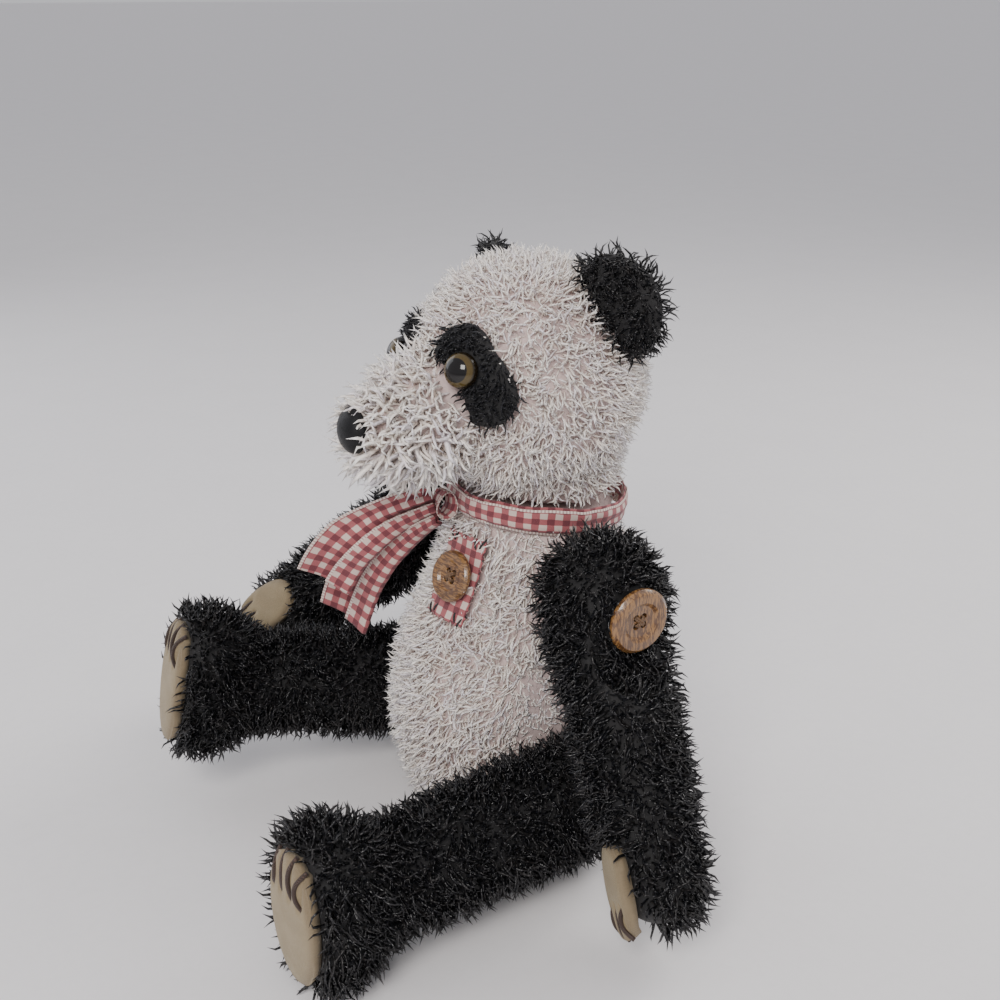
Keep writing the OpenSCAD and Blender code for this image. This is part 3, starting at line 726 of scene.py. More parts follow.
# Points over a skin, a curl on each, leaned the way the skin's comb says.
def pileTree(name, curls, gap, lift, jitter, scale, seed):
    tree = bpy.data.node_groups.new(name, "GeometryNodeTree")
    tree.interface.new_socket("Geometry", in_out="INPUT", socket_type="NodeSocketGeometry")
    tree.interface.new_socket("Geometry", in_out="OUTPUT", socket_type="NodeSocketGeometry")
    net = Nodes(tree)
    given = net.add("NodeGroupInput").outputs[0]

    def attribute(label, kind):
        node = net.add("GeometryNodeInputNamedAttribute", data_type=kind)
        node.inputs["Name"].default_value = label
        return node.outputs[0]

    def chance(kind, low, high, number):
        node = net.add("FunctionNodeRandomValue", data_type=kind)
        sockets = {"FLOAT": (2, 3, 1), "FLOAT_VECTOR": (0, 1, 0), "INT": (4, 5, 2)}[kind]
        node.inputs[sockets[0]].default_value = low
        node.inputs[sockets[1]].default_value = high
        node.inputs["Seed"].default_value = seed + number
        return node.outputs[sockets[2]]

    def vector(operation, a, b):
        node = net.add("ShaderNodeVectorMath", operation=operation)
        net.feed(node.inputs[0], a)
        if operation == "SCALE":
            net.feed(node.inputs["Scale"], b)
        else:
            net.feed(node.inputs[1], b)
        return node.outputs[0]

    spread = net.add("GeometryNodeDistributePointsOnFaces", distribute_method="POISSON")
    net.feed(spread.inputs["Mesh"], given)
    net.feed(spread.inputs["Distance Min"], gap * mm)
    net.feed(spread.inputs["Density Max"], 1.6 / (gap * mm) ** 2)
    net.feed(spread.inputs["Density Factor"], attribute("cover", "FLOAT"))
    spread.inputs["Seed"].default_value = seed
    lifted = vector("SCALE", spread.outputs["Normal"], lift)
    stray = vector("SCALE", chance("FLOAT_VECTOR", (-1, -1, -1), (1, 1, 1), 1), jitter)
    heading = vector("ADD", vector("ADD", lifted, attribute("comb", "FLOAT_VECTOR")), stray)
    aligned = net.add("FunctionNodeAlignRotationToVector", axis="Z")
    net.feed(aligned.inputs["Vector"], heading)
    source = net.add("GeometryNodeCollectionInfo")
    source.inputs[0].default_value = curls
    source.inputs["Separate Children"].default_value = True
    source.inputs["Reset Children"].default_value = True
    grown = net.add("GeometryNodeInstanceOnPoints")
    net.feed(grown.inputs["Points"], spread.outputs["Points"])
    net.feed(grown.inputs["Instance"], source.outputs[0])
    grown.inputs["Pick Instance"].default_value = True
    net.feed(grown.inputs["Instance Index"], chance("INT", 0, curlShapes["count"] - 1, 2))
    net.feed(grown.inputs["Rotation"], aligned.outputs[0])
    size = net.math("MULTIPLY", chance("FLOAT", scale[0], scale[1], 3), attribute("long", "FLOAT"))
    combined = net.add("ShaderNodeCombineXYZ", in_0=size, in_1=size, in_2=size)
    net.feed(grown.inputs["Scale"], combined.outputs[0])
    spun = net.add("GeometryNodeRotateInstances")
    net.feed(spun.inputs["Instances"], grown.outputs[0])
    spin = net.add("ShaderNodeCombineXYZ", in_2=chance("FLOAT", 0, math.tau, 4))
    net.feed(spun.inputs["Rotation"], spin.outputs[0])
    spun.inputs["Local Space"].default_value = True
    toned = net.add("GeometryNodeStoreNamedAttribute", data_type="FLOAT", domain="INSTANCE")
    net.feed(toned.inputs["Geometry"], spun.outputs[0])
    toned.inputs["Name"].default_value = "tone"
    net.feed(toned.inputs["Value"], chance("FLOAT", 0, 1, 5))
    real = net.add("GeometryNodeRealizeInstances")
    net.feed(real.inputs[0], toned.outputs[0])
    net.feed(net.add("NodeGroupOutput").inputs[0], real.outputs[0])
    return tree


# How a place on a piece keeps curls away: an oval or a round-ended slot in its own frame.
def slotShare(local, width, length):
    over = np.maximum(np.abs(local[:, 1]) - max(length - width, 0) / 2, 0)
    return np.hypot(local[:, 0], over) / (width / 2)


curlPoints = curlShapes["rings"] * 3 + 1


def growPile(skin, name, body, finish, curls, sizes, rule, keepOut=(), limits=None):
    points = pointsOf(skin)
    normals = np.zeros(len(points) * 3, np.float32)
    skin.data.vertices.foreach_get("normal", normals)
    cover, comb, length = rule(points, normals.reshape(-1, 3))
    swirl = np.array([noise.noise_vector(Vector(p) * 55) for p in points]) * 0.75
    bed = bpy.data.objects.new(name, skin.data.copy())
    scene.collection.objects.link(bed)
    for label, kind, values in (
            ("cover", "FLOAT", cover), ("long", "FLOAT", length),
            ("comb", "FLOAT_VECTOR", comb + swirl)):
        field = bed.data.attributes.new(label, kind, "POINT")
        key = "vector" if kind == "FLOAT_VECTOR" else "value"
        field.data.foreach_set(key, np.asarray(values, np.float32).ravel())
    pickOnly(bed)
    bpy.ops.object.modifier_add(type="NODES")
    bed.modifiers[-1].node_group = pileTree(
        name + "Spread", curls, sizes["gap"], sizes["lift"], sizes["jitter"], sizes["scale"],
        sizes["seed"])
    applyLast(bed)
    tips = pointsOf(bed)
    tips[:, 2] = np.maximum(tips[:, 2], 0.4 * mm)
    if limits:
        tips = limits(tips)
    movePoints(bed, tips)
    lost = np.zeros(len(tips), bool)
    for place, width, long, low, high in keepOut:
        local = inFrame(tips, place)
        inside = slotShare(local, width, long) < 1
        lost |= inside & (local[:, 2] > low) & (local[:, 2] < high)
    whole = np.repeat(lost.reshape(-1, curlPoints).any(axis=1), curlPoints)
    if whole.any():
        editPicked(bed, "vertices", whole)
        bpy.ops.mesh.delete(type="VERT")
        editDone()
    for label in ("cover", "long", "comb"):
        if label in bed.data.attributes:
            bed.data.attributes.remove(bed.data.attributes[label])
    dress(bed, body, finish)
    print(name, len(bed.data.vertices) // curlPoints, "curls")
    return bed


longCurls = makeCurls("longCurl", 10.5, 0.5, 0.26)
shortCurls = makeCurls("shortCurl", 6.0, 0.42, 0.24)
print("curls made")


# Lays the pile along a direction, keeping only what follows the skin.
def alongSkin(normals, direction, strength):
    way = np.broadcast_to(np.asarray(direction, float), normals.shape)
    return (way - normals * (way * normals).sum(axis=1, keepdims=True)) * strength


# Presses what would pass a flat limit into the last few millimetres before it.
def pressed(distance, edge, soft=5):
    start = (edge - soft) * mm
    over = np.maximum(distance - start, 0)
    return np.where(distance > start, edge * mm - soft * mm * np.exp(-over / (soft * mm)), distance)


# Opens the pile round a bare place and combs it away from there.
def openRound(points, cover, comb, place, width, length, reach, depth=30):
    local = inFrame(points, place)
    share = slotShare(local, width, length)
    near = np.abs(local[:, 2]) < depth
    cover[near & (share < 1)] = 0
    fade = np.clip(1 - (share - 1) * width / 2 / reach, 0, 1) * near * (share >= 1)
    away = local.copy()
    away[:, 1] = np.sign(local[:, 1]) * np.maximum(np.abs(local[:, 1]) - (length - width) / 2, 0)
    away[:, 2] = 0
    away /= np.maximum(np.linalg.norm(away, axis=1, keepdims=True), 1e-6)
    comb += (away @ np.array(place)[:3, :3].T) * fade[:, None] * 0.9


# ---- torso

def torsoRule(points, normals):
    flat = inFrame(points, leaned)
    cover = np.ones(len(points))
    comb = alongSkin(normals, (0, 0, -1), 0.45)
    length = np.ones(len(points))
    cover[flat[:, 2] > 153] = 0
    length[flat[:, 2] > 145] = 0.8
    for side in (left, right):
        for spot, radius in ((shoulderSpot, 27), (hipSpot, 26)):
            place = sided(side) @ shift(*spot) @ turn("Y", 90)
            openRound(points, cover, comb, place, radius * 2 - 2, radius * 2 - 2, 12, 8)
    low = points[:, 2] < 3 * mm
    cover[low] = 0.12
    length[points[:, 2] < 8 * mm] = 0.7
    openRound(points, cover, comb, onChest(126), 21, 35, 5, 20)
    return cover, comb, length


# Beside the limbs the torso's curls lie flat, so that the limbs swing past.
def torsoLimits(points):
    ahead = points[:, 1:] / mm
    nearArm = np.hypot(ahead[:, 0] - shoulderSpot[1], ahead[:, 1] - shoulderSpot[2]) < 36
    nearLeg = np.hypot(ahead[:, 0] - hipSpot[1], ahead[:, 1] - hipSpot[2]) < 62
    held = nearArm | nearLeg
    across = points[held, 0]
    points[held, 0] = np.sign(across) * pressed(np.abs(across), bodySizes["halfWidth"] + 0.1)
    return points


torsoHoles = [(neckPlace @ shift(0, 0, -4.5), 4.4), (onChest(126) @ shift(0, 0, -1.6), 3.6)]
for side in (left, right):
    torsoHoles += [(sided(side) @ shift(39.5, *spot[1:]), 4.4) for spot in (shoulderSpot, hipSpot)]
torsoSkin = makeSkin("torso_cover", "torso_skin", bodySizes["skinVoxel"], bodySizes["skinInset"],
                     torsoHoles)
dress(torsoSkin, "torso", whiteBacking, ["torso_cover"])
whiteSizes = {"gap": 1.26, "lift": 0.85, "jitter": 0.8, "scale": (0.75, 1.2), "seed": 11}


def halfRule(rule, front, seam):
    def chosen(points, normals):
        cover, comb, length = rule(points, normals)
        ahead = points[:, 1] < seam * mm
        cover[ahead != front] = 0
        return cover, comb, length
    return chosen


chestKeep = [(onChest(126), 19, 33, 0.5, 30)]
for label, front, seed in (("front", True, 11), ("back", False, 12)):
    growPile(torsoSkin, f"torso_pile_{label}", "torso", whitePile, longCurls,
             {**whiteSizes, "seed": seed}, halfRule(torsoRule, front, 8), chestKeep, torsoLimits)
print("torso done")


# ---- head

eyeSpots = {left: onSkull(30, 15), right: onSkull(-30, 15)}


def patchPlace(side):
    return skull @ turn("Z", side * 33) @ turn("X", 77) @ turn("Z", side * 35) @ shift(0, 0, 51)


def headRule(points, normals):
    flat = inFrame(points, neckPlace)
    local = inFrame(points, skull)
    cover = np.ones(len(points))
    comb = alongSkin(normals, skull.to_3x3() @ Vector((0, -0.2, -1)), 0.3)
    cover[(flat[:, 2] < 7) & (np.hypot(flat[:, 0], flat[:, 1]) < 40)] = 0
    length = np.full(len(points), 0.95)
    forward = np.clip((-local[:, 1] - 40) / 14, 0, 1)
    below = np.clip((-local[:, 2] - 4) / 14, 0, 1)
    length += forward * 0.4 + forward * below * 0.5
    comb *= (1 - 0.6 * forward)[:, None]
    nearNose = np.clip(2.2 - slotShare(inFrame(points, snout), 21, 21), 0, 1) * forward
    ahead = snout.to_3x3() @ Vector((0, 0, 1))
    comb += nearNose[:, None] * np.array(ahead) * 0.7
    length += nearNose * 0.1
    openRound(points, cover, comb, snout, 12, 12, 2, 14)
    for side in (left, right):
        openRound(points, cover, comb, patchPlace(side), 25, 42, 2.5, 26)
    return cover, comb, length


headHoles = [(neckPlace @ shift(0, 0, 4.9), 4.4), (snout @ shift(0, 0, -1.6), 3.4)]
for place in eyeSpots.values():
    headHoles += [(place @ shift(0, 0, depth), 3.2) for depth in (-1.6, 1.0)]
headSkin = makeSkin("head_cover", "head_skin", bodySizes["skinVoxel"], bodySizes["skinInset"],
                    headHoles)
dress(headSkin, "head", whiteBacking, ["head_cover"])
faceKeep = [(snout, 16.4, 16.4, 2.5, 30)]
faceKeep += [(patchPlace(side), 22, 38, -2, 30) for side in (left, right)]
for label, front, seed in (("face", True, 21), ("back", False, 22)):
    growPile(headSkin, f"head_pile_{label}", "head", whitePile, longCurls,
             {**whiteSizes, "seed": seed}, halfRule(headRule, front, -8), faceKeep)


def earRule(points, normals):
    cover = np.ones(len(points))
    local = inFrame(points, skull)
    cover[np.linalg.norm(local, axis=1) < 53] = 0
    outward = Vector((0, 0, 0.3))
    return cover, alongSkin(normals, outward, 0.3), np.full(len(points), 0.85)


for side in (left, right):
    word = sideNames[side]
    earSkin = makeSkin(f"ear_{word}", f"ear_skin_{word}", 3, 2)
    dress(earSkin, "head", blackBacking, [f"ear_{word}"])
    growPile(earSkin, f"ear_pile_{word}", "head", blackPile, longCurls,
             {**whiteSizes, "seed": 31 + side}, earRule)

    patchSkin = makeSkin(f"eye_patch_{word}", f"eye_patch_skin_{word}", 1.4, 0.2)
    dress(patchSkin, "head", blackBacking, [f"eye_patch_{word}"])

    def patchRule(points, normals):
        local = inFrame(points, skull)
        away = local / np.linalg.norm(local, axis=1, keepdims=True)
        outwards = away @ np.array(skull)[:3, :3].T
        cover = ((outwards * normals).sum(axis=1) > 0.2).astype(float)
        comb = alongSkin(normals, (0, 0, -1), 0.25)
        openRound(points, cover, comb, eyeSpots[side], 13, 13, 5, 20)
        return cover, comb, np.ones(len(points))

    growPile(patchSkin, f"eye_patch_pile_{word}", "head", shortPile, shortCurls,
             {"gap": 1.15, "lift": 1.0, "jitter": 0.4, "scale": (0.8, 1.15), "seed": 41 + side},
             patchRule, [(eyeSpots[side], 14.4, 14.4, -2, 30)])
print("head done")


# ---- eyes, nose and mouth

domes = {"eye": (7.5, 5, 3.5), "nose": (10, 5.6, -0.4)}


# Half a ball, squashed, with a rolled rim, on a short post.
def makeDome(name, radius, rise, back, place):
    bpy.ops.object.select_all(action="DESELECT")
    bpy.ops.mesh.primitive_uv_sphere_add(segments=48, ring_count=32, radius=radius * mm)
    dome = bpy.context.object
    dome.name = name
    points = pointsOf(dome) / mm
    above = points[:, 2] >= 0
    points[above, 2] *= (rise + 1) / radius
    points[~above, 2] *= 1.6 / radius
    points[:, 2] += back + 0.6
    post = (points[:, 2] < back - 0.7) & (np.hypot(points[:, 0], points[:, 1]) < 2)
    points[post, 2] -= 6
    movePoints(dome, points * mm)
    smooth(dome)
    return settle(dome, place)


for side in (left, right):
    word = sideNames[side]
    eye = makeDome(f"glass_eye_{word}", *domes["eye"], eyeSpots[side])
    dress(eye, "head", eyeGloss, [f"eye_{word}"])
nosePiece = makeDome("domed_nose", *domes["nose"], snout)
dress(nosePiece, "head", noseMatte, ["nose"])


# Mouth thread round the snout's end.
def mouthRun(spin, start, stop, steps=9):
    centre = skull @ shift(0, -66, -9) @ turn("Y", spin)
    run = []
    for step in range(steps):
        angle = math.radians(start + (stop - start) * step / (steps - 1))
        reach = 18 + 0.9
        spot = centre @ Vector((0, -reach * math.cos(angle) * mm, -reach * math.sin(angle) * mm))
        run.append(tuple(value / mm for value in spot))
    return run


mouth = threadTube("mouth_thread", [mouthRun(0, 34, 62), mouthRun(38, 66, 88),
                                    mouthRun(-38, 66, 88)], 0.8)
dress(mouth, "head", blackThread, ["mouth_stitch"])
print("face done")


# ---- arms and legs

limbSizes = {"gap": 1.36, "lift": 0.9, "jitter": 0.8, "scale": (0.75, 1.25)}


# No curl reaches the torso's side.
def limbLimits(side):
    def held(points):
        points[:, 0] = side * -pressed(side * -points[:, 0], -44.6, 3)
        return points
    return held


def armRule(side):
    def chosen(points, normals):
        cover = np.ones(len(points))
        comb = alongSkin(normals, armFrame(side).to_3x3() @ Vector((0, 0, -1)), 0.4)
        cover[np.abs(points[:, 0]) < 47 * mm] = 0
        length = np.full(len(points), 1.05)
        openRound(points, cover, comb, buttonFrame(side), 22, 22, 6, 14)
        openRound(points, cover, comb, palmFrame(side), 23, 39, 6, 12)
        return cover, comb, length
    return chosen


def legRule(side):
    def chosen(points, normals):
        cover = np.ones(len(points))
        comb = alongSkin(normals, legFrame(side).to_3x3() @ Vector((0, -0.8, -0.5)), 0.35)
        cover[np.abs(points[:, 0]) < 47 * mm] = 0
        length = np.full(len(points), 1.05)
        low = points[:, 2] < 3 * mm
        cover[low] = 0.2
        openRound(points, cover, comb, soleFrame(side), 33, 59, 8, 8)
        return cover, comb, length
    return chosen


padSizes = {
    "paw": {"width": 24, "length": 40, "height": 3.4, "rise": 2.4, "deep": 4},
    "sole": {"width": 34, "length": 60, "height": 2.6, "rise": 3.0, "deep": 3.5},
}
clawLines = {
    "paw": [(-7, -19, -6, 1.4), (0, -20, -6, 0.5), (7, -19, -6, -1.4)],
    "sole": [(-10.5, 27, 11, 2.2), (-3.6, 30, 12, 1.0), (3.6, 30, 12, -1.0),
             (10.5, 27, 11, -2.2)],
}


def squareToDisc(x, y):
    return x * math.sqrt(1 - y * y / 2), y * math.sqrt(1 - x * x / 2)


# Height of a pad's suede: domed, drawn in along its claw lines, plump between them.
def padHeight(kind, x, y):
    sizes = padSizes[kind]
    share = min(1.0, math.hypot(x / sizes["width"] * 2, y / sizes["length"] * 2))
    height = sizes["height"] - 1.6 + sizes["rise"] * math.sqrt(max(0.0, 1 - share ** 4))
    for lineX, top, bottom, bow in clawLines[kind]:
        low, high = sorted((top, bottom))
        run = min(1.0, max(0.0, (y - low + 2) / 3)) * min(1.0, max(0.0, (high + 3 - y) / 3))
        height -= 1.3 * run * math.exp(-((x - lineX) / 1.3) ** 2)
    return height


def makePad(kind, name, place):
    sizes = padSizes[kind]

    def rule(u, v):
        x, y = squareToDisc(u * 2 - 1, v * 2 - 1)
        swell = 1 + 0.05 * math.sin(2 * math.atan2(y, x)) ** 2
        px = x * swell * sizes["width"] / 2
        py = y * swell * sizes["length"] / 2
        return px, py, padHeight(kind, px, py), px, py, 0

    pad = ruledSheet(name, 44, 66, rule, 0)
    rim = np.array([math.hypot(p[0] / sizes["width"] * 2, p[1] / sizes["length"] * 2)
                    for p in pointsOf(pad) / mm])
    border = pad.data.attributes.new("edge", "FLOAT", "POINT")
    border.data.foreach_set("value", rim.astype(np.float32))
    # The back of the pad, drawn in at the seam.
    editAll(pad)
    bpy.ops.mesh.select_all(action="DESELECT")
    bpy.ops.mesh.select_mode(type="EDGE")
    bpy.ops.mesh.select_non_manifold()
    bpy.ops.mesh.extrude_region_move(
        TRANSFORM_OT_translate={"value": (0, 0, -sizes["deep"] * mm)})
    bpy.ops.transform.resize(value=(0.94, 0.96, 1), center_override=(0, 0, 0))
    bpy.ops.mesh.edge_face_add()
    bpy.ops.mesh.select_mode(type="VERT")
    bpy.ops.mesh.select_all(action="SELECT")
    bpy.ops.mesh.normals_make_consistent(inside=False)
    editDone()
    smooth(pad)
    return settle(pad, place)


# Thick thread down each claw line.
def makeClaws(kind, name, place):
    runs = []
    for lineX, top, bottom, bow in clawLines[kind]:
        run = []
        for step in range(7):
            share = step / 6
            x = lineX + bow * math.sin(math.pi * share) * 1.2
            y = top + (bottom - top) * share
            lift = 0.35 if 0 < step < 6 else -0.8
            run.append((x, y, padHeight(kind, x, y) + lift))
        runs.append(run)
    return threadTube(name, runs, 1.0, place)


for side in (left, right):
    word = sideNames[side]
    armHoles = [(sided(side) @ shift(48.9, *shoulderSpot[1:]), 5.5)]
    armHoles += [(buttonFrame(side) @ shift(0, 0, depth), 4.6) for depth in (-3.6, -0.6)]
    armSkin = makeSkin(f"arm_cover_{word}", f"arm_skin_{word}", bodySizes["skinVoxel"],
                       bodySizes["skinInset"], armHoles)
    points = limbLimits(side)(pointsOf(armSkin))
    movePoints(armSkin, points)
    dress(armSkin, f"arm_{word}", blackBacking, [f"arm_cover_{word}"])
    growPile(armSkin, f"arm_pile_{word}", f"arm_{word}", blackPile, longCurls,
             {**limbSizes, "seed": 51 + side}, armRule(side),
             [(buttonFrame(side), 27, 27, 0.2, 40), (palmFrame(side), 21.5, 37.5, 0.5, 30)],
             limbLimits(side))
    pad = makePad("paw", f"paw_suede_{word}", palmFrame(side))
    dress(pad, f"arm_{word}", suede, [f"paw_pad_{word}"])
    claws = makeClaws("paw", f"paw_claws_{word}", palmFrame(side))
    dress(claws, f"arm_{word}", clawThread, [f"paw_stitches_{word}"])

    legHoles = [(sided(side) @ shift(48.9, *hipSpot[1:]), 4.4)]
    legSkin = makeSkin(f"leg_cover_{word}", f"leg_skin_{word}", bodySizes["skinVoxel"],
                       bodySizes["skinInset"], legHoles)
    points = limbLimits(side)(pointsOf(legSkin))
    movePoints(legSkin, points)
    dress(legSkin, f"leg_{word}", blackBacking, [f"leg_cover_{word}"])
    growPile(legSkin, f"leg_pile_{word}", f"leg_{word}", blackPile, longCurls,
             {**limbSizes, "seed": 61 + side}, legRule(side),
             [(soleFrame(side), 32, 58, 0.5, 30)], limbLimits(side))
    sole = makePad("sole", f"sole_suede_{word}", soleFrame(side))
    dress(sole, f"leg_{word}", suede, [f"sole_pad_{word}"])
    toes = makeClaws("sole", f"toe_claws_{word}", soleFrame(side))
    dress(toes, f"leg_{word}", clawThread, [f"toe_stitches_{word}"])
print("limbs done")


# ---- buttons

buttonSizes = {
    "shoulder": {"radius": 14, "thick": 5, "holes": 2.6, "hole": 1.4, "tie": 1.1},
    "chest": {"radius": 11.5, "thick": 4, "holes": 2.6, "hole": 1.4, "tie": 1.0},
}


# A turned button: its node's mesh with the edges rounded over.
def makeButton(node, name, place):
    button = copyNode(node, name)
    editAll(button)
    bpy.ops.mesh.dissolve_limited(angle_limit=math.radians(2))
    editDone()
    addModifier(button, "BEVEL", width=0.45 * mm, segments=3, limit_method="ANGLE",
                angle_limit=math.radians(24))
    pickOnly(button)
    bpy.ops.object.shade_smooth_by_angle(angle=math.radians(40))
    grain = button.data.attributes.new("local", "FLOAT_VECTOR", "POINT")
    grain.data.foreach_set("vector", inFrame(pointsOf(button), place).astype(np.float32).ravel())
    return button


# Doubled thread crossed through the four holes, and the wound shank behind.
def makeButtonTie(kind, name, place, shank):
    sizes = buttonSizes[kind]
    top = sizes["thick"] * 0.7
    out = sizes["holes"] / math.sqrt(2)
    runs = []
    for turned in (1, -1):
        for beside in (-0.42, 0.42):
            bx, by = beside * turned / math.sqrt(2), -beside / math.sqrt(2)
            runs.append([
                (-out + bx, -out * turned + by, -1.0), (-out + bx, -out * turned + by, top - 0.2),
                (-out * 0.8 + bx, -out * 0.8 * turned + by, top + 0.7),
                (bx, by, top + 1.1 + 0.3 * turned),
                (out * 0.8 + bx, out * 0.8 * turned + by, top + 0.7),
                (out + bx, out * turned + by, top - 0.2), (out + bx, out * turned + by, -1.0)])
    coil = []
    for step in range(40):
        angle = step * 0.9
        radius = 1.9 if 2 < step < 38 else 1.0
        coil.append((radius * math.cos(angle), radius * math.sin(angle), -0.4 - shank * step / 39))
    runs.append(coil)
    runs.append([(0, 0, -0.2), (0, 0, -shank / 2), (0, 0, -shank)])
    return threadTube(name, runs, 0.5, place)


for side in (left, right):
    word = sideNames[side]
    lifted = buttonFrame(side) @ shift(0, 0, 0.2)
    button = makeButton(f"shoulder_button_{word}", f"wood_button_{word}", lifted)
    dress(button, f"arm_{word}", wood, [f"shoulder_button_{word}"])
    tie = makeButtonTie("shoulder", f"button_tie_{word}", lifted, 9)
    dress(tie, f"arm_{word}", buttonThread, [f"button_thread_{word}"])
chestSpot = onChest(126) @ shift(0, 0, 3.0)
chestButton = makeButton("chest_button", "wood_button_chest", chestSpot)
dress(chestButton, "torso", wood, ["chest_button"])
chestTie = makeButtonTie("chest", "button_tie_chest", chestSpot, 7)
dress(chestTie, "torso", buttonThread, ["chest_button_thread"])
print("buttons done")


# ---- chest patch

patchSizes = {"width": 23, "length": 38, "middle": 126, "lift": 1.6, "stitch": 6}


def patchSpot(x, y, lift):
    place = onChest(patchSizes["middle"] + y, 10, x)
    spot = place @ Vector((0, 0, lift * mm))
    return [value / mm for value in spot]


# Ragged along its cut sides, a little raised between its stitches.
def patchRuleAt(u, v):
    x = (u - 0.5) * patchSizes["width"]
    y = (v - 0.5) * patchSizes["length"]
    ragX = noise.noise(Vector((y * 0.9, 3.1, u > 0.5))) * 1.3
    ragY = noise.noise(Vector((x * 0.9, 7.7, v > 0.5))) * 1.3
    x += ragX * (abs(u - 0.5) * 2) ** 6
    y += ragY * (abs(v - 0.5) * 2) ** 6
    wave = noise.noise(Vector((x * 0.12, y * 0.12, 1.0))) * 1.5
    curlUp = 0.9 * max(abs(u - 0.5), abs(v - 0.5)) ** 3 * 8
    spot = patchSpot(x, y, patchSizes["lift"] + wave * 0.6 + curlUp * 0.5)
    return (*spot, x, y, 0)


patch = ruledSheet("gingham_patch", 40, 66, patchRuleAt, 0.5)
dress(patch, "torso", patchGingham, ["chest_patch"])


# Corner stitches, and threads that have come loose from the cut edge.
def makePatchStitches():
    runs = []
    half = (patchSizes["width"] / 2, patchSizes["length"] / 2)
    for sx in (-1, 1):
        for sy in (-1, 1):
            for step, lean in enumerate((0.5, -0.3)):
                x = sx * (half[0] - 2 - step * 3.2)
                y = sy * (half[1] - 1.5 - step * 1.2)
                length = patchSizes["stitch"] * (1 - step * 0.15)
                run = []
                for part in range(5):
                    share = part / 4 - 0.5
                    lift = 2.6 if 0 < part < 4 else 0.8
                    run.append(patchSpot(x + lean * sx * share * 6, y + share * length, lift))
                runs.append(run)
    return threadTube("patch_sewing", runs, 0.5)


sewing = makePatchStitches()
dress(sewing, "torso", blackThread, ["patch_stitches"])


def makeFrays():
    runs = []
    draw = random.Random(5)
    half = (patchSizes["width"] / 2, patchSizes["length"] / 2)
    for number in range(34):
        along = draw.uniform(-1, 1)
        if number % 3:
            side = draw.choice((-1, 1))
            start = (side * half[0], along * half[1])
            step = (side * draw.uniform(0.5, 1.1), draw.uniform(-0.8, 0.8))
        else:
            side = draw.choice((-1, 1))
            start = (along * half[0], side * half[1])
            step = (draw.uniform(-0.8, 0.8), side * draw.uniform(0.5, 1.1))
        run = []
        for part in range(-1, 4):
            bow = 0.5 * math.sin(part * 1.3 + number)
            lift = 2.3 + 0.25 * max(part, 0) * draw.uniform(-0.2, 1)
            run.append(patchSpot(start[0] + step[0] * part * 0.8 + bow * 0.4,
                                 start[1] + step[1] * part * 0.8, lift))
        runs.append(run)
    return threadTube("patch_frays", runs, 0.16, sides=0)


frays = makeFrays()
frayRed = threadFinish("frayThread", (0.36, 0.07, 0.085), (0.78, 0.62, 0.56), 0.55)
dress(frays, "torso", frayRed)
print("patch done")


# ---- ribbon

ribbonSizes = {
    "width": 38, "thick": 0.35, "bandRadius": 38.9, "bandLow": 152.4, "bandHigh": 165.2,
    "layers": 3,
}


# The ribbon lies round the neck folded in three along its length.
def bandRule(u, v):
    angle = u * math.tau
    share = v * ribbonSizes["layers"]
    layer = min(int(share), ribbonSizes["layers"] - 1)
    within = share - layer
    up = within if layer % 2 == 0 else 1 - within
    tall = ribbonSizes["bandHigh"] - ribbonSizes["bandLow"]
    squeeze = 1 - 0.10 * math.sin(angle * 3 + 0.7) * (0.5 + 0.5 * math.sin(angle * 7))
    droop = 0.7 * math.sin(angle * 2 + 1.0)
    height = ribbonSizes["bandLow"] + droop + tall * squeeze * (0.06 * layer + up * (1 - 0.12 * layer))
    bulge = 0.5 * math.sin(math.pi * up) + 0.75 * math.sin(up * 9 + layer * 2 + angle * 2.0) * 0.35
    wrinkle = 0.35 * math.sin(angle * 23 + up * 3 + layer) * (0.5 + 0.5 * math.sin(angle * 5))
    radius = ribbonSizes["bandRadius"] + 0.75 * (layer + within * 0.6) + bulge + wrinkle
    place = leaned @ Vector((math.sin(angle) * radius * mm, -math.cos(angle) * radius * mm,
                             height * mm))
    across = (v - 0.5) * ribbonSizes["width"]
    return (*[value / mm for value in place], across, angle * 39, 0)


band = ruledSheet("ribbon_band", 240, 36, bandRule, ribbonSizes["thick"], closed=True)
dress(band, "torso", ribbonGingham, ["neck_ribbon"])


# A gathered length of ribbon wrapped over the crossing.
def knotRule(u, v):
    angle = u * math.tau
    across = (v - 0.5) * 2
    pinch = 1 - 0.28 * math.cos(across * math.pi / 2)
    pleat = 0.7 * math.sin(across * 9.5 + math.sin(angle) * 1.2)
    tall = (6.6 + pleat) * (0.86 + 0.14 * across * across)
    deep = (4.6 + pleat) * (0.86 + 0.14 * across * across)
    x = across * 6.6 * (1 + 0.12 * math.sin(angle * 2 + 0.5)) + 0.8 * math.sin(angle)
    y = -math.cos(angle) * deep * pinch - 0.4
    z = math.sin(angle) * tall + across * 1.1
    return x, y, z, across * 19, angle * 5.5, 0


knot = ruledSheet("ribbon_knot_wrap", 64, 44, knotRule, ribbonSizes["thick"], closed=True)
knot.data.transform(knotFrame)
dress(knot, "torso", ribbonGingham, ["ribbon_knot"])

tailSizes = {
    "front": {"azimuth": -50, "out": 52, "drop": 62, "up": -3, "slant": 6, "turned": 12},
    "back": {"azimuth": -34, "out": 56, "drop": 42, "up": 3, "slant": 4, "turned": 12},
    "gathered": 12, "wide": 26, "thick": 0.3,
}


